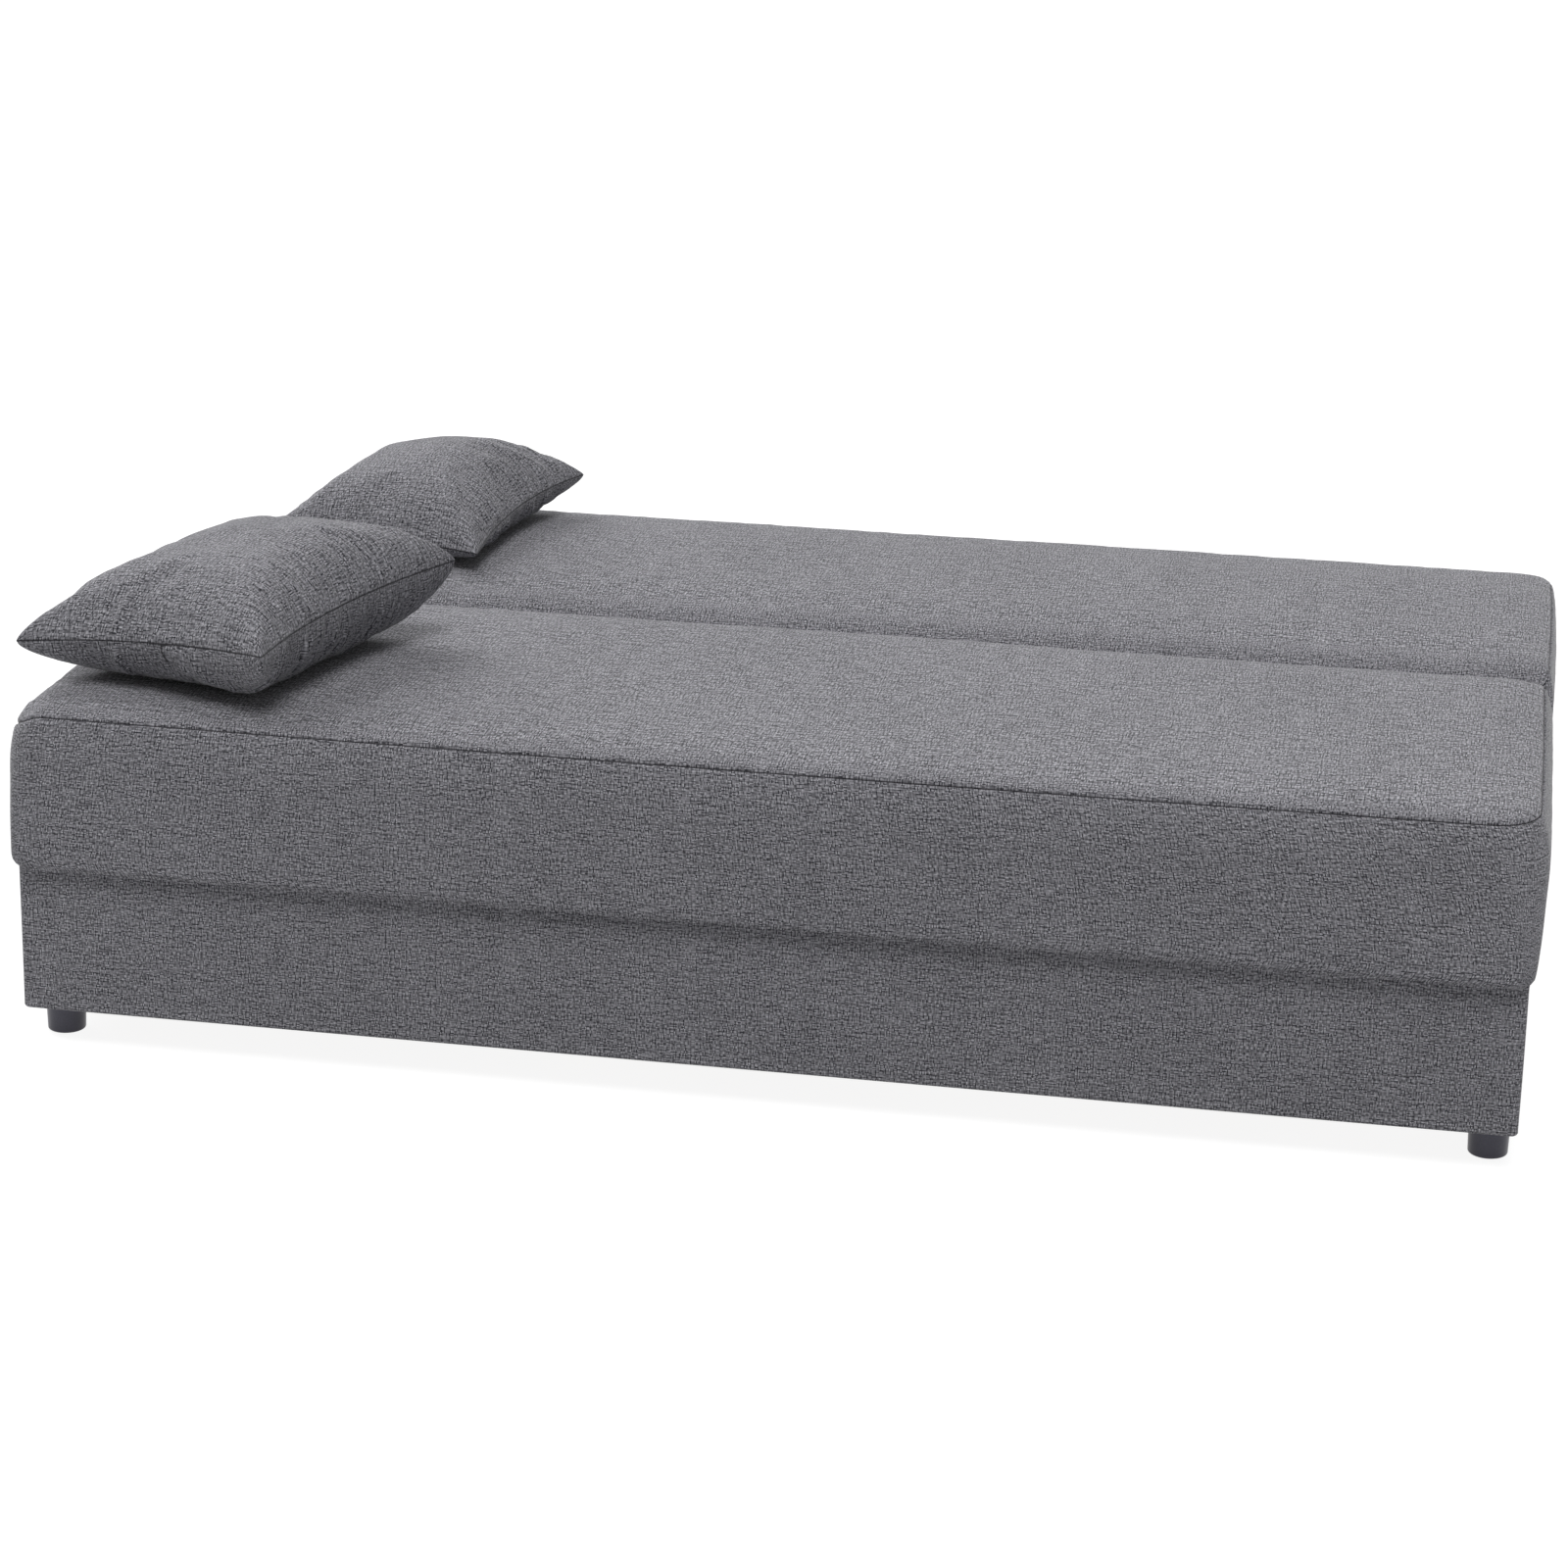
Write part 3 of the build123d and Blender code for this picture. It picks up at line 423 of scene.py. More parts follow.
@dataclass(frozen=True)
class GrainedFinish:
    """A finish whose shade and roughness vary with a fine grain, such as plastic, paint or felt."""

    name: str
    dark: str
    light: str
    grain: float
    roughness: tuple[float, float]
    relief: float
    metallic: float = 0.0
    ior: float = 1.5
    stretch: tuple[float, float, float] = (1.0, 1.0, 1.0)
    coat: float = 0.0

    def material(self) -> bpy.types.Material:
        """Build the finish.

        Returns:
            The material, which reads Object coordinates.
        """
        material, tree = new_material(self.name)
        place = add_node(tree, "ShaderNodeTexCoord").outputs["Object"]
        drawn = add_node(tree, "ShaderNodeMapping", {"Vector": place, "Scale": self.stretch})
        noise = add_node(tree, "ShaderNodeTexNoise", {
            "Vector": drawn.outputs[0], "Scale": 1 / (self.grain * MM), "Detail": 3.0, "Roughness": 0.6})
        share = add_node(tree, "ShaderNodeMapRange", {
            "Value": noise.outputs[0], **NOISE_SPAN})
        tone = add_node(tree, "ShaderNodeMix", {
            0: share.outputs[0], 6: linear_colour(self.dark), 7: linear_colour(self.light)}, data_type="RGBA")
        gloss = add_node(tree, "ShaderNodeMapRange", {
            "Value": share.outputs[0], "To Min": self.roughness[0], "To Max": self.roughness[1]})
        bumps = add_node(tree, "ShaderNodeBump", {
            "Strength": 0.4, "Distance": self.relief * MM, "Height": noise.outputs[0]})
        surface = add_node(tree, "ShaderNodeBsdfPrincipled", {
            "Base Color": tone.outputs[2], "Roughness": gloss.outputs[0], "Metallic": self.metallic,
            "IOR": self.ior, "Normal": bumps.outputs[0], "Coat Weight": self.coat, "Coat Roughness": 0.2})
        add_node(tree, "ShaderNodeOutputMaterial", {"Surface": surface.outputs[0]})
        return material


# Spun-bonded lining and polyester webbing: matt black felted fibre.
LINING = GrainedFinish("spunbond_lining", "#151517", "#2B2B2E", 1.6, (0.85, 0.95), 0.25)
WEBBING = GrainedFinish("polyester_webbing", "#1C1C1D", "#333335", 1.8, (0.75, 0.9), 0.3, stretch=(1, 0.2, 1))
# Pressed felt and cut foam: open, dull and pale.
FELT = GrainedFinish("needled_felt", "#5C5A56", "#8A8781", 2.5, (0.9, 0.98), 0.6)
FOAM = GrainedFinish("cut_foam", "#D8C890", "#EBDDB0", 1.8, (0.9, 0.98), 0.5)
FILLING = GrainedFinish("polyester_fibre", "#E4E4E0", "#F2F2EF", 4.0, (0.9, 0.98), 0.8)
# Moulded polypropylene: satin, near black with a blue cast.
FOOT_PLASTIC = GrainedFinish("moulded_polypropylene", "#393848", "#494758", 1.2, (0.28, 0.38), 0.05)
NYLON = GrainedFinish("moulded_nylon", "#D9D9D3", "#E8E8E2", 1.5, (0.35, 0.45), 0.04)
# Zinc plate has a dull crystalline bloom. Powder paint has a fine orange-peel skin.
ZINC = GrainedFinish("zinc_plated_steel", "#A2A5AA", "#C6C8CC", 3.0, (0.28, 0.45), 0.03, metallic=1.0)
PAINT = GrainedFinish("powder_painted_steel", "#101012", "#19191C", 0.9, (0.34, 0.46), 0.08, coat=0.15)
# Hardboard shows pressed fibre, and planed pine a long grain.
HARDBOARD = GrainedFinish("pressed_hardboard", "#4A3523", "#6B4F37", 1.4, (0.6, 0.75), 0.08)
TIMBER = GrainedFinish("planed_pine", "#B98F5C", "#DDBE8C", 7.0, (0.55, 0.7), 0.12, stretch=(0.06, 1, 1))
# Twisted sewing thread, a little lighter than the cloth.
THREAD = GrainedFinish("polyester_thread", "#9A999F", "#BDBCC2", 0.8, (0.55, 0.7), 0.05)

SLOT_FINISHES = {
    "lining": LINING, "foam": FOAM, "pillow_filling": FILLING, "webbing": WEBBING, "felt": FELT,
    "foot_plastic": FOOT_PLASTIC, "nylon": NYLON, "zinc_steel": ZINC, "painted_steel": PAINT,
    "hardboard": HARDBOARD, "timber": TIMBER,
}


@dataclass
class Ring:
    """A rounded rectangle split into four sides, each from the middle of one corner to the next."""

    across: int
    along: int
    bend: int = 6

    @property
    def count(self) -> int:
        """How many points the ring has."""
        return 2 * (self.across + self.along)

    def points(self, low: tuple[float, float], high: tuple[float, float],
               corners: tuple[float, ...]) -> tuple[np.ndarray, np.ndarray]:
        """The ring's points and outward normals, from the front left corner round to the left.

        Args:
            low: Lowest x and y.
            high: Highest x and y.
            corners: The four corners' radii, in the same order.

        Returns:
            Points and normals in plan.
        """
        places = []
        normals = []
        middle = ((low[0] + high[0]) / 2, (low[1] + high[1]) / 2)
        half = ((high[0] - low[0]) / 2, (high[1] - low[1]) / 2)
        turned = np.arange(self.bend) / self.bend * math.pi / 4
        for side in range(4):
            steps = (self.across if side % 2 == 0 else self.along) - 2 * self.bend
            run = half[side % 2]
            depth = half[1 - side % 2]
            first, last = corners[side], corners[(side + 1) % 4]
            straight = np.arange(steps) / steps * (2 * run - first - last) + first - run
            bend = np.concatenate([turned - math.pi / 4, np.zeros(steps), turned])
            radius = np.where(bend < 0, first, last)
            flat = np.concatenate([np.full(self.bend, first - run), straight, np.full(self.bend, run - last)])
            place = np.stack([flat + radius * np.sin(bend), radius * (1 - np.cos(bend)) - depth], 1)
            normal = np.stack([np.sin(bend), -np.cos(bend)], 1)
            turn = np.array([[1, 0], [0, 1]])
            for _ in range(side):
                turn = np.array([[0, -1], [1, 0]]) @ turn
            places.append(place @ turn.T + middle)
            normals.append(normal @ turn.T)
        return np.concatenate(places), np.concatenate(normals)

    def cap(self, edge: np.ndarray) -> np.ndarray:
        """Fill a ring with a grid.

        Args:
            edge: The ring's points.

        Returns:
            The grid's inner points, row by row.
        """
        nx, ny = self.across, self.along
        loop = np.concatenate([edge, edge[:1]])
        front = loop[:nx + 1]
        right = loop[nx:nx + ny + 1]
        rear = loop[nx + ny:2 * nx + ny + 1][::-1]
        left = loop[2 * nx + ny:][::-1]
        u = (np.arange(1, nx) / nx)[None, :, None]
        v = (np.arange(1, ny) / ny)[:, None, None]
        ruled = (1 - v) * front[None, 1:-1] + v * rear[None, 1:-1]
        ruled = ruled + (1 - u) * left[1:-1, None] + u * right[1:-1, None]
        corners = (1 - u) * (1 - v) * front[0] + u * (1 - v) * front[-1]
        corners = corners + (1 - u) * v * rear[0] + u * v * rear[-1]
        return (ruled - corners).reshape(-1, edge.shape[1])

    def cap_quads(self, first_edge: int, first_inner: int, upward: bool) -> np.ndarray:
        """Faces of a cap.

        Args:
            first_edge: Number of the ring's first point.
            first_inner: Number of the grid's first inner point.
            upward: Whether the faces look up.

        Returns:
            Four point numbers for each face.
        """
        nx, ny = self.across, self.along
        grid = np.zeros((ny + 1, nx + 1), int)
        loop = first_edge + np.append(np.arange(self.count), 0)
        grid[0] = loop[:nx + 1]
        grid[:, -1] = loop[nx:nx + ny + 1]
        grid[-1] = loop[nx + ny:2 * nx + ny + 1][::-1]
        grid[:, 0] = loop[2 * nx + ny:][::-1]
        grid[1:-1, 1:-1] = first_inner + np.arange((nx - 1) * (ny - 1)).reshape(ny - 1, nx - 1)
        quads = np.stack([grid[:-1, :-1], grid[:-1, 1:], grid[1:, 1:], grid[1:, :-1]], -1).reshape(-1, 4)
        return quads if upward else quads[:, ::-1]

    def band_quads(self, rows: int, closed: bool = False) -> np.ndarray:
        """Faces between successive rings.

        Args:
            rows: How many rings there are.
            closed: Whether the last ring joins the first.

        Returns:
            Four point numbers for each face, row by row.
        """
        step = np.arange(self.count)
        after = (step + 1) % self.count
        quads = []
        for row in range(rows if closed else rows - 1):
            low = row * self.count
            high = (row + 1) % rows * self.count
            quads.append(np.stack([low + step, low + after, high + after, high + step], 1))
        return np.concatenate(quads)


class NearSide(Enum):
    """How the side of a pad that faces the fold is made."""

    SQUARE = "square"
    ROLLED = "rolled"


@dataclass
class BoxPad:
    """A foam pad in a sewn cover: a top panel, a band round it, and the seam between them. Sizes in mm."""

    name: str
    body: str
    cover: str
    foam: str
    near_side: NearSide
    bows: tuple[float, float, float]
    seed: int
    seam_dip: dict[str, float] = field(default_factory=dict)
    side_insets: dict[str, float] = field(default_factory=dict)
    slots: list[Slot] = field(default_factory=list)
    ring: Ring = field(default_factory=lambda: Ring(164, 56))
    corners: tuple[float, float, float, float] = (40.0, 64.0, 34.0, 34.0)
    foot_corner: float = 14.0
    cap_corner: float = 24.0
    crown: float = 8.0
    crown_reach: float = 150.0
    edge_crown: float = 0.25
    tuck: float = 10.0
    front_tuck: float = 1.5
    tuck_height: float = 140.0
    tuck_curve: float = 1.4
    shoulder: float = 75.0
    shoulder_curve: float = 2.6
    roll: float = 80.0
    roll_slack: float = 1.1
    fold: float = 70.0
    seam_drop: float = 7.0
    seam_inset: float = 14.0
    seam_softness: float = 11.0
    edge_roll: float = 4.0
    end_roll: float = 15.0
    hem: float = 42.0
    hem_rise: float = 3.0
    underside: float = 1.0
    groove: float = 3.0
    groove_width: float = 1.9
    lip: float = 0.4
    lip_offset: float = 8.0
    lip_width: float = 5.0
    pucker: float = 0.4
    foot_pucker: float = 0.8
    pucker_reach: float = 60.0
    foot_reach: float = 40.0
    pucker_waves: tuple[float, float] = (22.0, 60.0)
    sway: float = 0.6
    sway_waves: tuple[float, float] = (300.0, 900.0)
    fine_sway: float = 0.2
    fine_waves: tuple[float, float] = (60.0, 140.0)
    top_weave: float = 0.42
    rear_fall: float = 0.0
    fall_reach: float = 220.0

    SIDES = ("front", "right", "rear", "left")
    HEM_ROWS = 3
    BAND_STEPS = 20
    TOP_STEPS = 12
    BAND_ROW = 8.0
    TOP_ROW = 10.0
    SEWN_ROWS = 3
    STITCH_ROWS = 4
    BAND_EASE = 0.3
    TOP_EASE = 1.3
    BAND_SAMPLES = 240
    ROLL_SAMPLES = 60
    TOP_SAMPLES = 160
    SEAM_STEPS = (-12.0, -9.0, -6.5, -4.5, -2.8, -1.3, 0.0, 1.3, 2.8, 4.5, 6.5, 9.0, 12.0)

    def __post_init__(self) -> None:
        """Read the pad's place from its cover."""
        low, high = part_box(self.cover)
        self.low = np.array(low) / MM
        self.high = np.array(high) / MM
        self.edge = self.high[2] - self.low[2] - self.crown

    def profile(self, side: str) -> tuple[np.ndarray, np.ndarray]:
        """The section of one side, from the bottom edge up over the shoulder to the crown.

        Args:
            side: One of SIDES.

        Returns:
            Inset from the fullest outline, and height over the bottom.
        """
        seam = self.edge - self.seam_drop
        height = np.linspace(self.underside, seam, self.BAND_SAMPLES)
        radius = self.end_roll if side in ("left", "right") else self.edge_roll
        turned = np.clip((radius - height) / radius, 0, 1)
        under = radius * (1 - np.sqrt(1 - turned**2))
        if side == "front" and self.near_side is NearSide.ROLLED:
            above = np.clip(height - (self.edge - self.roll), 0, None)
            inset = under + self.roll - np.sqrt(self.roll**2 - above**2)
            start = inset[-1]
            over = np.linspace(start, self.roll, self.ROLL_SAMPLES)[1:]
            rise = self.edge - self.roll + np.sqrt(np.clip(self.roll**2 - (self.roll - over)**2, 0, None))
            past = np.linspace(self.roll, self.crown_reach + self.roll / 2, self.ROLL_SAMPLES)[1:]
            share = (past - self.roll) / (past[-1] - self.roll)
            lift = self.edge + self.crown * (1 - (1 - share) ** 2)
            return np.concatenate([inset, over, past]), np.concatenate([height, rise, lift])
        low = self.edge - self.shoulder
        depth = self.front_tuck if side == "front" else self.tuck
        tuck = depth * (1 - np.clip(height / self.tuck_height, 0, 1)) ** self.tuck_curve
        seam_inset = self.side_insets.get(side, self.seam_inset)
        drawn_in = np.clip((height - low) / (seam - low), 0, 1) ** self.shoulder_curve
        inset = under + tuck + seam_inset * drawn_in
        over = np.linspace(0, self.crown_reach - seam_inset, self.TOP_SAMPLES)[1:]
        soft = self.seam_drop + self.edge_crown * self.crown
        share = over / over[-1]
        rise = seam + soft * (1 - np.exp(-over / self.seam_softness))
        rise = rise + (1 - self.edge_crown) * self.crown * (1 - (1 - share) ** 2)
        return np.concatenate([inset, seam_inset + over]), np.concatenate([height, rise])

    def rows(self, side: str) -> tuple[np.ndarray, np.ndarray, np.ndarray]:
        """Where each ring of the pad meets one side.

        Args:
            side: One of SIDES.

        Returns:
            Inset, height and way along the section for each ring.
        """
        inset, height = self.profile(side)
        way = np.append(0, np.cumsum(np.hypot(np.diff(inset), np.diff(height))))
        seam = np.interp(self.edge - self.seam_drop - self.seam_dip.get(side, 0.0), height, way)
        first = np.linspace(0, 1, self.BAND_STEPS + 1)[:-1]
        first = first * (1 - self.BAND_EASE) + self.BAND_EASE * first**2
        low = first * (seam + self.SEAM_STEPS[0])
        last = np.linspace(0, 1, self.TOP_STEPS + 1)[1:] ** self.TOP_EASE
        high = seam + self.SEAM_STEPS[-1] + last * (way[-1] - seam - self.SEAM_STEPS[-1])
        steps = np.concatenate([low, seam + np.array(self.SEAM_STEPS), high])
        return np.interp(steps, way, inset), np.interp(steps, way, height), steps

    def radii(self, height: float, inset: float) -> tuple[float, ...]:
        """The radii of one ring's corners: tight at the foot, fuller at the seam.

        Args:
            height: The ring's height over the bottom.
            inset: How far it lies inside the fullest outline.

        Returns:
            The four radii.
        """
        grown = smooth_step(height, 0.0, self.edge - self.seam_drop)
        capped = smooth_step(inset, self.seam_inset, self.crown_reach)
        full = [self.foot_corner + (corner - self.foot_corner) * grown for corner in self.corners]
        return tuple(radius + (self.cap_corner - radius) * capped for radius in full)

    def bowed(self, plan: np.ndarray, z: np.ndarray) -> np.ndarray:
        """Draw the corners in above the foot, so that the sides bow out between them.

        Args:
            plan: A ring's points in plan.
            z: Their heights.

        Returns:
            The bowed ring in plan.
        """
        middle = (self.low[:2] + self.high[:2]) / 2
        half = (self.high[:2] - self.low[:2]) / 2
        share = (plan - middle) / half
        front, side, rear = np.array(self.bows)[:, None] * smooth_step(z - self.low[2], 0.0, self.tuck_height)
        shift = front * np.clip(-share[:, 1], 0, 1) - rear * np.clip(share[:, 1], 0, 1)
        y = plan[:, 1] + shift * share[:, 0] ** 2
        x = plan[:, 0] - side * share[:, 0] * share[:, 1] ** 2
        return np.stack([x, y], 1)

    def sections(self) -> list[tuple[list[float], list[float], list[float]]]:
        """The four sides' sections, with the hem that is turned in under the pad.

        Returns:
            Inset, height and way along the section of the four sides for each ring.
        """
        sides = [self.rows(side) for side in self.SIDES]
        count = len(sides[0][0])
        rings = [tuple([side[kind][row] for side in sides] for kind in range(3)) for row in range(count)]
        foot = rings[0][0]
        turned_in = [inset + self.hem for inset in foot]
        flat = [self.underside] * 4
        lead = [
            (turned_in, [self.hem_rise] * 4, [-self.hem - self.hem_rise] * 4),
            (turned_in, flat, [-self.hem] * 4),
            ([inset + self.hem / 2 for inset in foot], flat, [-self.hem / 2] * 4),
        ]
        return lead + rings

    def surface(self) -> tuple[np.ndarray, np.ndarray, np.ndarray, np.ndarray]:
        """Build the sewn pad.

        Returns:
            Points, faces, weave map for each face corner, and each point's distance from the seam.
        """
        sections = self.sections()
        points, weave_up, weave_over = [], [], []
        outline, _ = self.ring.points(self.low[:2], self.high[:2], self.corners)
        self.round_way = way_round(outline)
        for insets, heights, ways in sections:
            front, right, rear, left = insets
            low = (self.low[0] + left, self.low[1] + front)
            high = (self.high[0] - right, self.high[1] - rear)
            plan, normal = self.ring.points(low, high, self.radii(heights[1], right))
            ends = np.arcsin(np.clip(np.abs(normal[:, 0]), 0, 1)) * 2 / math.pi
            weights = np.stack([(1 - ends) * (normal[:, 1] < 0), ends * (normal[:, 0] > 0),
                                (1 - ends) * (normal[:, 1] >= 0), ends * (normal[:, 0] <= 0)], 1)
            z = self.low[2] + weights @ np.array(heights)
            points.append(np.column_stack([self.bowed(plan, z), z]))
            weave_up.append(weights @ np.array(ways))
            slack = (np.array(sections[-1][2]) - ways) - (np.array(sections[-1][0]) - insets)
            weave_over.append(plan + normal * (weights @ slack)[:, None])
        rows = len(sections)
        count = self.ring.count
        under = self.ring.cap(points[0])
        top = self.ring.cap(points[-1])
        quads = self.ring.band_quads(rows)
        first_under = rows * count
        first_top = first_under + len(under)
        under_quads = self.ring.cap_quads(0, first_under, upward=False)
        top_quads = self.ring.cap_quads((rows - 1) * count, first_top, upward=True)
        everything = np.concatenate(points + [under, top])
        rearward = smooth_step(everything[:, 1], self.high[1] - self.fall_reach, self.high[1])
        raised = smooth_step(everything[:, 2] - self.low[2], 0.0, self.edge)
        everything[:, 2] -= self.rear_fall * rearward * raised
        faces = np.concatenate([quads, under_quads, top_quads])

        # The top is seen at a low angle, so its floats are drawn longer from front to rear.
        spread = np.concatenate(weave_over + [under[:, :2], top[:, :2]])
        flat_from = self.low[1] + (self.roll if self.near_side is NearSide.ROLLED else self.shoulder / 2)
        flat_depth = self.high[1] - self.shoulder / 2 - flat_from
        spread[:, 1] -= (1 - self.top_weave) * np.clip(spread[:, 1] - flat_from, 0, flat_depth)
        weave = spread[faces].copy()
        weave[len(quads):len(quads) + len(under_quads)] = everything[under_quads][..., :2]
        self.seam_row = self.HEM_ROWS + self.BAND_STEPS + self.SEAM_STEPS.index(0.0)
        for row in range(self.seam_row):
            part = slice(row * count, (row + 1) * count)
            weave[part] = band_weave(self.round_way, weave_up[row], weave_up[row + 1])
        seam = np.full(len(everything), FAR_FROM_SEAM)
        shaped = self.unevenness(everything, faces, rows, seam)
        return shaped, faces, weave * MM, seam

    def unevenness(self, points: np.ndarray, faces: np.ndarray, rows: int, seam: np.ndarray) -> np.ndarray:
        """Sink the seam, gather the cloth beside it and let the surfaces sway a little.

        Args:
            points: The even surface.
            faces: Its faces.
            rows: How many rings it has.
            seam: Filled with each point's distance from the seam.

        Returns:
            The moved points.
        """
        count = self.ring.count
        normals = vertex_normals(points, faces)
        move = self.sway * Ripple(self.seed, *self.sway_waves).at(points)
        move += self.fine_sway * Ripple(self.seed + 1, *self.fine_waves).at(points)
        along = np.column_stack([self.round_way[:-1], np.zeros(count), np.zeros(count)])
        gather = Ripple(self.seed + 2, *self.pucker_waves, waves=20).at(along)
        for row in range(rows):
            part = slice(row * count, (row + 1) * count)
            up = row - self.HEM_ROWS
            index = up - self.BAND_STEPS
            if up < 0:
                move[part] = 0.0
                continue
            if index < 0:
                near = 1 - smooth_step((self.BAND_STEPS - up) * self.BAND_ROW, 0, self.pucker_reach)
                foot = 1 - smooth_step(up * self.BAND_ROW, 0, self.foot_reach)
                beside = near + self.foot_pucker * foot * smooth_step(up, 0, self.SEWN_ROWS)
                move[part] = move[part] * (1 - foot) + self.pucker * beside * gather
                continue
            if index >= len(self.SEAM_STEPS):
                past = (index - len(self.SEAM_STEPS) + 1) * self.TOP_ROW
                move[part] += self.pucker * (1 - smooth_step(past, 0, self.pucker_reach)) * gather
                continue
            step = abs(self.SEAM_STEPS[index])
            sunk = self.groove * math.exp(-(step / self.groove_width) ** 2)
            sunk -= self.lip * math.exp(-((step - self.lip_offset) / self.lip_width) ** 2)
            move[part] += self.pucker * gather * smooth_step(step, 0, self.lip_offset) - sunk
            # The seam mark also sets the cloth's painted shade along the seam.
            seam[part] = step
        shaped = points + normals * move[:, None]
        return self.clear_of_seat(shaped) if self.near_side is NearSide.ROLLED else shaped

    def clear_of_seat(self, points: np.ndarray) -> np.ndarray:
        """Draw in what would press into the seat pad while the rolled edge turns.

        Args:
            points: The pad's surface.

        Returns:
            The same points, none of them ahead of the seat pad at any angle up to the fold.
        """
        centre = np.array([self.low[1] + self.roll, self.low[2] + self.edge - self.roll])
        off = points[:, 1:] - centre
        angle = np.arctan2(-off[:, 0], off[:, 1])
        behind, square = 0.5, math.pi / 2
        turned = np.clip(angle + math.radians(self.fold), behind, square)
        limit = (self.roll + self.roll_slack) / np.sin(turned)
        ahead = (angle > -behind) & (angle < square)
        drawn = np.where(ahead, np.minimum(1, limit / np.maximum(np.hypot(off[:, 0], off[:, 1]), 1)), 1)
        return np.column_stack([points[:, 0], centre + off * drawn[:, None]])

    def stitch_path(self, points: np.ndarray) -> np.ndarray:
        """Points of the top stitching, just above the seam."""
        first = (self.seam_row + self.STITCH_ROWS) * self.ring.count
        return points[first:first + self.ring.count]

    def build(self, cloth: bpy.types.Material, stitcher: "StitchRow") -> None:
        """Make the pad and its top stitching.

        Args:
            cloth: The cover's cloth.
            stitcher: Sews the row of stitches.
        """
        points, faces, weave, seam = self.surface()
        piece = cloth_mesh(self.name, points, faces, weave, seam)
        if self.slots:
            cut_boxes(piece, self.slots)
        upholster(piece, cloth, self.body, (self.cover, self.foam))
        stitcher.sew(f"{self.name}_top_stitching", self.stitch_path(points), self.body)


@dataclass
class StitchRow:
    """Top stitching: short thread floats laid end to end along a path. Sizes in mm."""

    spacing: float = 7.0
    length: float = 4.6
    thickness: float = 0.75
    least: tuple[float, float, float] = (0.85, 0.9, 0.9)
    most: tuple[float, float, float] = (1.08, 1.1, 1.1)
    seed: int = 5

    def tree(self) -> bpy.types.GeometryNodeTree:
        """Build the nodes that lay stitches along an edge loop.

        Returns:
            The node group, with its sizes as named inputs.
        """
        tree = bpy.data.node_groups.new("stitch_row", "GeometryNodeTree")
        face = tree.interface
        face.new_socket("Geometry", in_out="INPUT", socket_type="NodeSocketGeometry")
        for name in ("Spacing", "Length", "Thickness"):
            face.new_socket(name, in_out="INPUT", socket_type="NodeSocketFloat")
        face.new_socket("Thread", in_out="INPUT", socket_type="NodeSocketMaterial")
        face.new_socket("Geometry", in_out="OUTPUT", socket_type="NodeSocketGeometry")
        given = add_node(tree, "NodeGroupInput").outputs
        path = add_node(tree, "GeometryNodeMeshToCurve", {"Mesh": given["Geometry"]})
        dots = add_node(tree, "GeometryNodeResampleCurve", {
            "Curve": path.outputs[0], "Length": given["Spacing"]}, mode="LENGTH")
        ball = add_node(tree, "GeometryNodeMeshUVSphere", {"Segments": 6, "Rings": 4, "Radius": 0.5})
        size = add_node(tree, "ShaderNodeCombineXYZ", {
            0: given["Length"], 1: given["Thickness"], 2: given["Thickness"]})
        tangent = add_node(tree, "GeometryNodeInputTangent")
        lie = add_node(tree, "FunctionNodeAlignRotationToVector", {"Vector": tangent.outputs[0]}, axis="X")
        laid = add_node(tree, "GeometryNodeInstanceOnPoints", {
            "Points": dots.outputs[0], "Instance": ball.outputs[0], "Rotation": lie.outputs[0],
            "Scale": size.outputs[0]})
        slack = add_node(tree, "FunctionNodeRandomValue", {
            0: self.least, 1: self.most, "Seed": self.seed}, data_type="FLOAT_VECTOR")
        varied = add_node(tree, "GeometryNodeScaleInstances", {
            "Instances": laid.outputs[0], "Scale": slack.outputs[0]})
        real = add_node(tree, "GeometryNodeRealizeInstances", {"Geometry": varied.outputs[0]})
        smooth = add_node(tree, "GeometryNodeSetShadeSmooth", {"Geometry": real.outputs[0]})
        dressed = add_node(tree, "GeometryNodeSetMaterial", {
            "Geometry": smooth.outputs[0], "Material": given["Thread"]})
        add_node(tree, "NodeGroupOutput", {0: dressed.outputs[0]})
        return tree

    def __post_init__(self) -> None:
        """Make the node group and the thread once."""
        self.group = self.tree()
        self.thread = THREAD.material()

    def sew(self, name: str, path: np.ndarray, body: str) -> None:
        """Lay a closed row of stitches.

        Args:
            name: The row's name.
            path: The points it passes, mm.
            body: The body it rides on.
        """
        count = len(path)
        mesh = bpy.data.meshes.new(name)
        mesh.from_pydata((path * MM).tolist(), [(i, (i + 1) % count) for i in range(count)], [])
        piece = place_object(name, mesh)
        row = piece.modifiers.new("stitches", "NODES")
        row.node_group = self.group
        values = {"Spacing": self.spacing * MM, "Length": self.length * MM,
                  "Thickness": self.thickness * MM, "Thread": self.thread}
        for item in self.group.interface.items_tree:
            if item.in_out == "INPUT" and item.name in values:
                row[item.identifier] = values[item.name]
        bake_modifiers(piece)
        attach(piece, body)
        LOG.info("%s: %d faces", name, len(piece.data.polygons))


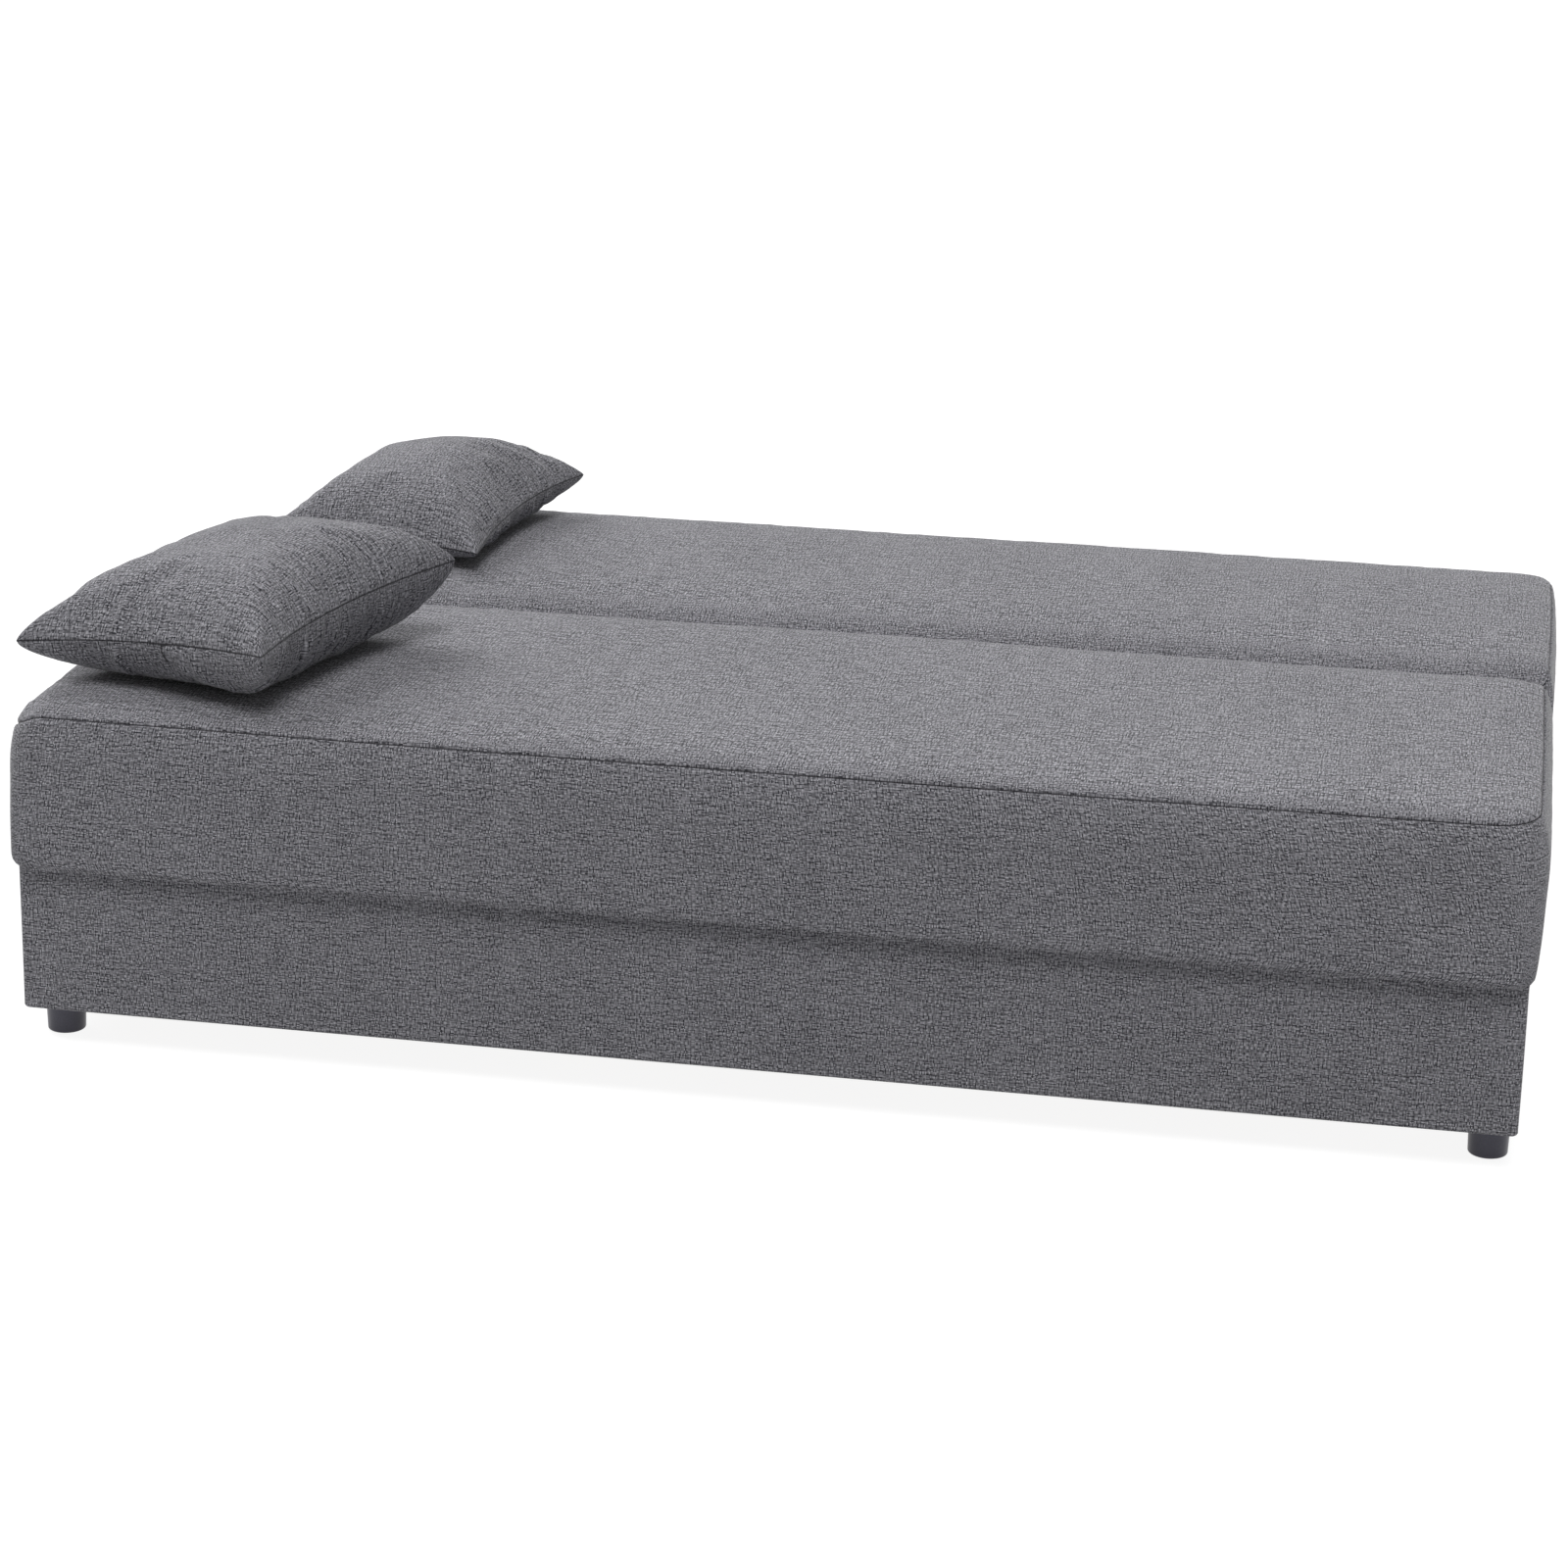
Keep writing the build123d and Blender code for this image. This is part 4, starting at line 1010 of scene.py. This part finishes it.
@dataclass
class PlinthCover:
    """The cloth drawn over the plinth's boards and turned in at the top and bottom. Sizes in mm."""

    name: str = "plinth_cover"
    body: str = "base"
    cover: str = "base_cover"
    ring: Ring = field(default_factory=lambda: Ring(150, 50))
    corner: float = 9.0
    edge: float = 6.0
    top_edge: float = 2.5
    proud: float = 1.2
    top_lap: float = 0.2
    hem: float = 38.0
    wall: float = 2.4
    fullness: float = 0.8
    swell_waves: tuple[float, float] = (120.0, 420.0)
    seed: int = 31
    slots: list[Slot] = field(default_factory=list)

    EDGE_STEPS = 6
    WALL_STEPS = 18

    def section(self, height: float) -> list[tuple[float, float]]:
        """Inset and height of each ring: up the outside, over the top, and back down inside.

        Args:
            height: The plinth's height.

        Returns:
            One pair for each ring.
        """
        turn = np.linspace(0, math.pi / 2, self.EDGE_STEPS)
        low = [(self.edge * (1 - math.sin(t)), self.edge * (1 - math.cos(t))) for t in turn]
        flat = [(0.0, z) for z in np.linspace(self.edge, height - self.top_edge, self.WALL_STEPS)[1:-1]]
        high = [(self.top_edge * (1 - math.cos(t)), height - self.top_edge * (1 - math.sin(t))) for t in turn]
        inside = [(self.hem, height), (self.hem, height - self.wall), (self.wall, height - self.wall),
                  (self.wall, self.wall), (self.hem, self.wall), (self.hem, 0.0)]
        return low + flat + high + inside

    def build(self, cloth: bpy.types.Material) -> None:
        """Make the cover.

        Args:
            cloth: The upholstery cloth.
        """
        low, high = (np.array(corner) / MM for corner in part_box(self.cover))
        low = low - self.proud
        high = high + np.array([self.proud, self.proud, self.top_lap])
        section = self.section(high[2] - low[2])
        swell = Ripple(self.seed, *self.swell_waves)
        rings = []
        round_way = None
        for inset, z in section:
            radius = max(self.corner - inset, self.top_edge)
            plan, normal = self.ring.points(low[:2] + inset, high[:2] - inset, (radius,) * 4)
            points = np.column_stack([plan, np.full(len(plan), low[2] + z)])
            if inset == 0.0:
                points[:, :2] += normal * (0.5 * self.fullness * (swell.at(points) - 1.0))[:, None]
            rings.append(points)
            if round_way is None or inset == 0.0:
                round_way = way_round(plan)
        faces = self.ring.band_quads(len(rings), closed=True)
        ways = np.append(0, np.cumsum([math.dist(a, b) for a, b in zip(section, section[1:] + section[:1])]))
        levels = np.repeat(ways[:, None], self.ring.count, 1)
        weave = np.concatenate([band_weave(round_way, *levels[row:row + 2]) for row in range(len(rings))])
        piece = cloth_mesh(self.name, np.concatenate(rings), faces, weave * MM)
        cut_boxes(piece, self.slots)
        upholster(piece, cloth, self.body, (self.cover,))


@dataclass(frozen=True)
class ClosingSeam:
    """The seam that closes a pillow's lower panel, whose right half laps over the left, with a painted shadow
    line at the flap's edge. Sizes in mm.

    It starts at the near edge and bends to the right. Its start, lean and bend are shares of half the width.
    """

    start: float = 0.1
    lean: float = 1.1
    bend: float = 5.0
    fade: tuple[float, float] = (0.55, 0.7)
    drawn_from: float = 0.6
    lap: float = 2.5
    lap_width: tuple[float, float] = (-1.0, 6.0)
    puff: float = 4.0
    puff_offset: float = 38.0
    puff_width: float = 24.0
    shadow_line_offset: float = 1.5
    shadow_line_share: float = 0.6
    hold: float = 8.0

    def at(self, u: np.ndarray, v: np.ndarray, half_width: float) -> tuple[np.ndarray, np.ndarray]:
        """Lay the lap and draw the seam as a painted shadow line at the foot of the lap.

        Args:
            u: Where each point lies across, -1 to 1.
            v: Where it lies along.
            half_width: Half the pillow's width.

        Returns:
            Height, and distance from the painted shadow line at the seam, for each point.
        """
        beside = (u - self.start - self.lean * (1 + v) - self.bend * (1 + v) ** 2) * half_width
        lap = self.lap * smooth_step(beside, *self.lap_width)
        lap = lap + self.puff * np.exp(-((beside - self.puff_offset) / self.puff_width) ** 2)
        # Painted shadow: the dark line lies at the foot of the lap, where the flap's edge casts shade, only on
        # the part near the near edge.
        drawn = np.where(v < -self.drawn_from, self.shadow_line_share * (beside - self.shadow_line_offset),
                         np.copysign(FAR_FROM_SEAM, beside))
        return smooth_step(-v, *self.fade) * lap, drawn


@dataclass
class Pillow:
    """A loose knife-edge pillow: two panels sewn round the edge and stuffed. Sizes in mm.

    Its corners and sides are counted from the front left corner and the front side, towards the right.
    """

    name: str
    body: str
    cover: str
    filling: str
    size: tuple[float, float]
    turn: float
    corner_heights: tuple[float, float, float, float]
    top: float
    fullness: float
    roundness: float
    lift: float
    seed: int
    draw: float
    closing_seam: ClosingSeam | None = None
    press: float = 10.0
    softness: float = 3.0
    belly: float = 0.5
    corner_belly: float = 0.15
    grid: tuple[int, int] = (84, 104)
    pressure: float = 3.0
    slack: float = 0.035
    frames: int = 20
    even_rounds: int = 24
    wrinkle_cap: float = 3.5
    gathers: tuple[float, float, float, float] = (3.0, 3.4, 0.8, 0.8)
    gather_reach: tuple[float, float, float, float] = (36.0, 60.0, 26.0, 30.0)
    gather_waves: tuple[float, float, float, float] = (26.0, 20.0, 16.0, 18.0)
    gather_slant: float = 0.1
    gather_spread: float = 2.2
    gather_count: int = 18
    gather_sharpness: float = 1.3
    gather_hold: float = 6.0
    tip_fade: tuple[float, float] = (15.0, 95.0)
    bed_fade: tuple[float, float] = (0.5, 12.0)
    lumps: float = 1.6
    lump_waves: tuple[float, float] = (120.0, 300.0)
    seam_hold: float = 14.0
    seam_crowding: float = 0.55
    weave_scale: float = 0.85

    UNDER_FROM = 0.4
    STUFFING = {
        "quality": 6, "mass": 0.2, "tension_stiffness": 25, "compression_stiffness": 25,
        "shear_stiffness": 8, "bending_stiffness": 0.05, "air_damping": 2.0,
    }

    def shares(self) -> tuple[np.ndarray, np.ndarray]:
        """Space the grid's points closer together near the seam.

        Returns:
            Where each point lies across and along, -1 to 1.
        """
        lines = []
        for count in self.grid:
            even = np.linspace(-1, 1, count + 1)
            crowded = np.sin(even * math.pi / 2)
            lines.append((1 - self.seam_crowding) * even + self.seam_crowding * crowded)
        return tuple(np.meshgrid(*lines))

    def panels(self) -> tuple[np.ndarray, np.ndarray]:
        """The full pillow's upper and lower panel.

        Returns:
            Two grids of points about the pillow's middle, resting on height 0.
        """
        u, v = self.shares()
        x = u * (self.size[0] / 2 - self.draw * (1 - v**2))
        y = v * (self.size[1] / 2 - self.draw * (1 - u**2))
        right, rear = (1 + u) / 2, (1 + v) / 2
        a, b, c, d = self.corner_heights
        seam = (1 - rear) * ((1 - right) * a + right * b) + rear * (right * c + (1 - right) * d)
        seam = seam + self.lift * (1 - (u * v) ** 2)
        across, along = (np.clip(1 - np.abs(share) ** self.fullness, 1e-9, 1) for share in (u, v))
        full = math.sqrt(2) / np.sqrt(across**-2 + along**-2)
        full = np.where(full < 1e-6, 0.0, full)
        upper = seam + self.top * full**self.roundness
        hanging = seam - (seam + self.press) * full ** (self.belly + self.corner_belly * (u * v) ** 2)
        lower = self.softness * np.logaddexp(0, hanging / self.softness)
        return np.stack([x, y, upper], -1), np.stack([x, y, lower], -1)

    def bag(self) -> tuple[np.ndarray, np.ndarray, np.ndarray, np.ndarray]:
        """Sew the two panels together.

        Returns:
            Points, faces, the cloth's own coordinates for each face corner, and each point's distance
            from the seam round the edge.
        """
        upper, lower = self.panels()
        rows, columns = upper.shape[:2]
        edge = np.zeros((rows, columns), bool)
        edge[[0, -1]] = True
        edge[:, [0, -1]] = True
        top_index = np.arange(rows * columns).reshape(rows, columns)
        under_index = top_index.copy()
        under_index[~edge] = rows * columns + np.arange((~edge).sum())
        faces, maps, apart = [], [], []
        for grid, index, order in ((upper, top_index, (0, 1, 2, 3)), (lower, under_index, (3, 2, 1, 0))):
            across = np.linalg.norm(np.diff(grid, axis=1, prepend=grid[:, :1]), axis=-1).cumsum(1)
            along = np.linalg.norm(np.diff(grid, axis=0, prepend=grid[:1]), axis=-1).cumsum(0)
            ways = (across, across[:, -1:] - across, along, along[-1] - along)
            # Distance from the edge seam: it holds the cloth in the stuffing and sets the cloth's painted shade
            # along the seam.
            apart.append(np.minimum.reduce(ways))
            across = across - across[:, columns // 2:columns // 2 + 1] + 3 * self.size[0] * len(faces)
            along = along - along[rows // 2]
            flat = np.stack([across, along], -1)
            for table, made in ((index, faces), (flat, maps)):
                corners = (table[:-1, :-1], table[:-1, 1:], table[1:, 1:], table[1:, :-1])
                shape = (-1, 4) + table.shape[2:]
                made.append(np.stack([corners[n] for n in order], 2).reshape(shape))
        points = np.concatenate([upper.reshape(-1, 3), lower[~edge]])
        weave = self.weave_scale * np.concatenate(maps)
        return points, np.concatenate(faces), weave, np.append(apart[0], apart[1][~edge])

    def stuffed(self, piece: bpy.types.Object, held: np.ndarray) -> np.ndarray:
        """Let the cloth, cut a little larger than the pillow, buckle over its stuffing.

        Args:
            piece: The sewn bag.
            held: Numbers of the points that the seam and the bed hold.

        Returns:
            The bag's points when it has settled, mm.
        """
        group = piece.vertex_groups.new(name="held")
        group.add(held.tolist(), 1.0, "REPLACE")
        swell = piece.modifiers.new("stuffing", "CLOTH")
        cloth = swell.settings
        for setting, value in self.STUFFING.items():
            setattr(cloth, setting, value)
        cloth.vertex_group_mass = group.name
        cloth.shrink_min = -self.slack
        cloth.use_pressure = True
        cloth.uniform_pressure_force = self.pressure
        cloth.effector_weights.gravity = 0.0
        swell.collision_settings.use_collision = False
        swell.point_cache.frame_start = 1
        swell.point_cache.frame_end = self.frames
        scene = bpy.context.scene
        for step in range(1, self.frames + 1):
            scene.frame_set(step)
        full = piece.evaluated_get(bpy.context.evaluated_depsgraph_get())
        points = np.zeros(len(full.data.vertices) * 3)
        full.data.vertices.foreach_get("co", points)
        scene.frame_set(1)
        return points.reshape(-1, 3) / MM

    def wrinkles(self, calm: np.ndarray, blown: np.ndarray, quads: np.ndarray,
                 normals: np.ndarray) -> np.ndarray:
        """What the simulated cloth adds to the pillow's even form.

        Args:
            calm: The even form.
            blown: The simulated one.
            quads: Their faces.
            normals: The even form's normals.

        Returns:
            How far each point moves along its normal, without the general swelling.
        """
        swell = ((blown - calm) * normals).sum(1)
        even = swell.copy()
        for _ in range(self.even_rounds):
            total = np.zeros(len(even))
            shares = np.zeros(len(even))
            for a, b in ((0, 1), (1, 2), (2, 3), (3, 0)):
                np.add.at(total, quads[:, a], even[quads[:, b]])
                np.add.at(shares, quads[:, a], 1.0)
            even = total / shares
        return np.clip(swell - even, -self.wrinkle_cap, self.wrinkle_cap)

    def folds(self, u: np.ndarray, v: np.ndarray) -> np.ndarray:
        """How far the gathers along the four seams stand out.

        Args:
            u: Where each point lies across, -1 to 1.
            v: Where it lies along.

        Returns:
            One height for each point.
        """
        half_x, half_y = self.size[0] / 2, self.size[1] / 2
        sides = (((1 + v) * half_y, u * half_x), ((1 - u) * half_x, v * half_y),
                 ((1 - v) * half_y, u * half_x), ((1 + u) * half_x, v * half_y))
        total = np.zeros_like(u)
        for side, (depth, along) in enumerate(sides):
            line = np.stack([along, self.gather_slant * depth, 0 * along], -1)
            longest = self.gather_waves[side]
            shortest = longest / self.gather_spread
            fold = Ripple(self.seed + side, shortest, longest, self.gather_count).at(line)
            ridge = np.clip(fold, 0, None) ** self.gather_sharpness * smooth_step(depth, 0, self.gather_hold)
            total += self.gathers[side] * ridge * np.exp(-depth / self.gather_reach[side])
        return total * self.tips(u, v)

    def tips(self, u: np.ndarray, v: np.ndarray) -> np.ndarray:
        """0 at the four corners, where the cloth lies smooth, rising to 1 away from them.

        Args:
            u: Where each point lies across, -1 to 1.
            v: Where it lies along.

        Returns:
            One share for each point.
        """
        apart = np.hypot((1 - np.abs(u)) * self.size[0] / 2, (1 - np.abs(v)) * self.size[1] / 2)
        return smooth_step(apart, *self.tip_fade)

    def placed(self, points: np.ndarray) -> np.ndarray:
        """Turn the pillow and lay it where its solid lies.

        Args:
            points: Its points about its own middle.

        Returns:
            The points in their place.
        """
        low, high = (np.array(corner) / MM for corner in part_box(self.cover))
        turn = math.radians(self.turn)
        spin = np.array([[math.cos(turn), -math.sin(turn)], [math.sin(turn), math.cos(turn)]])
        middle = (low[:2] + high[:2]) / 2
        return np.column_stack([points[:, :2] @ spin.T + middle, points[:, 2] + low[2]])

    def finish_cloth(self, mesh: bpy.types.Mesh) -> None:
        """Gather the cloth along the seams, close the lower panel with the painted shadow line of its seam, and
        lay the pillow in its place.

        Args:
            mesh: The stuffed pillow about its own middle, whose points know their place on the panels.
        """
        count = len(mesh.vertices)
        points, place, seam = np.zeros(count * 3), np.zeros(count * 3), np.zeros(count)
        corners = np.zeros(len(mesh.loops), np.int32)
        mesh.vertices.foreach_get("co", points)
        mesh.attributes[PANEL_PLACE].data.foreach_get("vector", place)
        mesh.attributes[SEAM_MARK].data.foreach_get("value", seam)
        mesh.loops.foreach_get("vertex_index", corners)
        points = points.reshape(-1, 3) / MM
        u, v, under = place.reshape(-1, 3).T
        move = self.folds(u, v)
        if self.closing_seam:
            below = under > self.UNDER_FROM
            lap, beside = self.closing_seam.at(u, v, self.size[0] / 2)
            move += np.where(below, lap * smooth_step(seam, 0, self.closing_seam.hold), 0.0)
            # The closing seam's painted shadow line goes into the seam mark, which the cloth darkens.
            seam = np.where(below & (np.abs(beside) < seam), beside, seam)
        move *= smooth_step(points[:, 2], *self.bed_fade)
        shaped = points + vertex_normals(points, corners.reshape(-1, 4)) * move[:, None]
        mesh.vertices.foreach_set("co", (self.placed(shaped) * MM).ravel())
        mesh.attributes[SEAM_MARK].data.foreach_set("value", seam)
        mesh.attributes.remove(mesh.attributes[PANEL_PLACE])
        mesh.update()

    def build(self, cloth: bpy.types.Material) -> None:
        """Make the pillow.

        Args:
            cloth: The upholstery cloth.
        """
        calm, faces, weave, seam = self.bag()
        normals = vertex_normals(calm, faces)
        u, v = (share.ravel() for share in self.shares())
        inner = np.flatnonzero(seam[:len(u)] > 0)
        u, v = np.append(u, u[inner]), np.append(v, v[inner])
        held = np.flatnonzero((seam == 0) | (calm[:, 2] < self.softness))
        free = smooth_step(seam, 0.0, self.seam_hold) * smooth_step(calm[:, 2], *self.bed_fade)
        under = np.arange(len(calm)) >= len(calm) - len(inner)
        move = self.lumps * Ripple(self.seed + 9, *self.lump_waves).at(calm)
        piece = cloth_mesh(f"{self.name}_bag", calm, faces, weave * MM)
        blown = self.stuffed(piece, held)
        bpy.data.objects.remove(piece)
        move += self.wrinkles(calm, blown, faces, normals)
        shaped = calm + normals * (move * free * self.tips(u, v))[:, None]
        piece = cloth_mesh(self.name, shaped, faces, weave * MM, seam)
        panel = piece.data.attributes.new(PANEL_PLACE, "FLOAT_VECTOR", "POINT")
        panel.data.foreach_set("vector", np.column_stack([u, v, under]).astype(np.float32).ravel())
        smooth = piece.modifiers.new("smooth", "SUBSURF")
        smooth.levels = smooth.render_levels = 1
        bake_modifiers(piece)
        self.finish_cloth(piece.data)
        upholster(piece, cloth, self.body, (self.cover, self.filling))


@dataclass
class Fittings:
    """Everything that keeps its own solid: boards, feet, hinges, legs, straps and lining."""

    slots: dict[str, str]

    def dress(self) -> None:
        """Give each solid the finish of its slot."""
        made = {slot: finish.material() for slot, finish in SLOT_FINISHES.items()}
        for node, piece in frame["nodes"].items():
            if piece.hide_render:
                continue
            slot = self.slots[node]
            wear(piece, made[slot])
            LOG.info("%s: %s", node, made[slot].name)


@dataclass
class Studio:
    """A white sweep, two broad soft lights and the camera. Camera sizes in mm and radians."""

    position: tuple[float, float, float] = (895.54, -5324.02, 1955.39)
    yaw: float = 0.17986
    pitch: float = 0.30811
    roll: float = 0.01963
    focal_pixels: float = 4106.2
    image_width: float = 1600.0
    sensor: float = 36.0
    key_from: tuple[float, float, float] = (-0.52, 0.63, 0.57)
    key_level: float = 0.57
    key_spread: float = 40.0
    fill_from: tuple[float, float, float] = (0.08, -0.37, 0.926)
    fill_level: float = 0.53
    fill_spread: float = 30.0
    world_level: float = 0.16
    floor_size: float = 60.0
    floor_bounce: str = "#D5D5D5"
    floor_shade: str = "#8A8A8A"
    floor_glow: float = 0.9

    def camera(self) -> None:
        """Set the camera at the photograph's viewing angle."""
        view = Vector((-math.sin(self.yaw) * math.cos(self.pitch),
                       math.cos(self.yaw) * math.cos(self.pitch), -math.sin(self.pitch)))
        right = Vector((math.cos(self.yaw), math.sin(self.yaw), 0.0))
        up = right.cross(view)
        c, s = math.cos(self.roll), math.sin(self.roll)
        turned_right = c * right + s * up
        turned_up = -s * right + c * up
        pose = Matrix((turned_right, turned_up, -view)).transposed().to_4x4()
        pose.translation = Vector(self.position) * MM
        data = bpy.data.cameras.new("camera")
        data.sensor_width = self.sensor
        data.lens = self.focal_pixels / self.image_width * self.sensor
        data.clip_end = 200.0
        made = place_object("camera", data)
        made.matrix_world = pose
        bpy.context.scene.camera = made

    def lamp(self, name: str, source: tuple[float, float, float], level: float, spread: float) -> None:
        """Hang one large, distant soft light.

        Args:
            name: Its name.
            source: The direction that it shines from.
            level: How bright a white surface square to it becomes.
            spread: How wide it looks from the object, degrees.
        """
        data = bpy.data.lights.new(name, "SUN")
        data.energy = level * math.pi
        data.angle = math.radians(spread)
        made = place_object(name, data)
        made.rotation_euler = (-Vector(source)).to_track_quat("-Z", "Y").to_euler()

    def background_ray(self, tree: bpy.types.NodeTree) -> bpy.types.NodeSocket:
        """Tell the rays that look at the backdrop, straight, in a reflection or through glass.

        Args:
            tree: The tree that gets the nodes.

        Returns:
            1 for such rays.
        """
        path = add_node(tree, "ShaderNodeLightPath").outputs
        seen = add_node(tree, "ShaderNodeMath", {0: path["Is Camera Ray"], 1: path["Is Glossy Ray"]},
                        operation="MAXIMUM")
        both = add_node(tree, "ShaderNodeMath", {0: seen.outputs[0], 1: path["Is Transmission Ray"]},
                        operation="MAXIMUM")
        return both.outputs[0]

    def world(self) -> None:
        """Even light from all round, in front of a white backdrop."""
        world = bpy.data.worlds.new("studio")
        world.use_nodes = True
        tree = world.node_tree
        tree.nodes.clear()
        light = add_node(tree, "ShaderNodeBackground", {"Color": (1, 1, 1, 1), "Strength": self.world_level})
        white = add_node(tree, "ShaderNodeBackground", {"Color": (1, 1, 1, 1), "Strength": 1.0})
        mixed = add_node(tree, "ShaderNodeMixShader", {
            0: self.background_ray(tree), 1: light.outputs[0], 2: white.outputs[0]})
        add_node(tree, "ShaderNodeOutputWorld", {"Surface": mixed.outputs[0]})
        bpy.context.scene.world = world

    def floor(self) -> None:
        """A pale floor that shows as white, with the shadow kept."""
        half = self.floor_size / 2
        mesh = bpy.data.meshes.new("floor")
        mesh.from_pydata([(-half, -half, 0), (half, -half, 0), (half, half, 0), (-half, half, 0)], [],
                         [(0, 1, 2, 3)])
        made = place_object("floor", mesh)
        material, tree = new_material("white_floor")
        bounce = add_node(tree, "ShaderNodeBsdfDiffuse", {"Color": linear_colour(self.floor_bounce)})
        shade = add_node(tree, "ShaderNodeBsdfDiffuse", {"Color": linear_colour(self.floor_shade)})
        glow = add_node(tree, "ShaderNodeEmission", {"Color": (1, 1, 1, 1), "Strength": self.floor_glow})
        shown = add_node(tree, "ShaderNodeAddShader", {0: shade.outputs[0], 1: glow.outputs[0]})
        mixed = add_node(tree, "ShaderNodeMixShader", {
            0: self.background_ray(tree), 1: bounce.outputs[0], 2: shown.outputs[0]})
        add_node(tree, "ShaderNodeOutputMaterial", {"Surface": mixed.outputs[0]})
        wear(made, material)

    def build(self) -> None:
        """Set up the whole studio."""
        self.camera()
        self.world()
        self.floor()
        self.lamp("key", self.key_from, self.key_level, self.key_spread)
        self.lamp("fill", self.fill_from, self.fill_level, self.fill_spread)
        bpy.context.scene.view_settings.view_transform = "Standard"


def node_slots() -> dict[str, str]:
    """The material slot of each solid.

    Returns:
        Slot name by node name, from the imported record.
    """
    return {part["node"]: part["material_slot"] for part in frame["record"]["subparts"]}


def end_slots(middle: float, half: float, depth: tuple[float, float],
              height: tuple[float, float]) -> list[Slot]:
    """The same slot near both ends of the sofa bed, mm."""
    return [((side * middle - half, side * middle + half), depth, height) for side in (-1, 1)]


def main() -> None:
    """Build the sofa bed and its studio."""
    logging.basicConfig(level=logging.INFO, format="%(name)s %(message)s")
    cloth = MelangeCloth().material()
    stitcher = StitchRow()
    plate_slots = end_slots(946.5, 4.5, depth=(38.0, 148.0), height=(240.0, 404.0))
    pin_slots = end_slots(942.5, 13.5, depth=(94.0, 148.0), height=(350.0, 404.0))
    bar_slots = end_slots(946.5, 3.5, depth=(10.0, 30.0), height=(148.0, 217.0))
    BoxPad("seat_pad", "base", "seat_cover", "seat_foam", NearSide.SQUARE, bows=(8.0, 2.0, 0.0), seed=11,
           seam_dip={"left": 24.0, "rear": 30.0}).build(cloth, stitcher)
    BoxPad("back_pad", "back", "back_cover", "back_foam", NearSide.ROLLED, bows=(0.0, 2.0, 6.0), seed=12,
           seam_dip={"front": 24.0}, corners=(20.0, 20.0, 40.0, 80.0), seam_inset=9.0,
           side_insets={"left": 32.0}, rear_fall=7.0,
           slots=plate_slots + pin_slots).build(cloth, stitcher)
    PlinthCover(slots=bar_slots).build(cloth)
    Pillow("front_pillow", "front_pillow", "pillow_front_cover", "pillow_front_filling",
           size=(383.0, 482.0), turn=-15.6, corner_heights=(53.0, 85.0, 105.0, 66.0), top=89.0,
           fullness=2.44, roundness=0.76, lift=3.2, seed=21, draw=25.0,
           closing_seam=ClosingSeam()).build(cloth)
    Pillow("rear_pillow", "rear_pillow", "pillow_rear_cover", "pillow_rear_filling",
           size=(356.0, 452.0), turn=-6.8, corner_heights=(6.5, 27.0, 47.3, 0.0), top=99.0,
           fullness=2.03, roundness=0.92, lift=9.6, seed=41, draw=20.7).build(cloth)
    Fittings(node_slots()).dress()
    Studio().build()


if __name__ == "__main__":
    main()
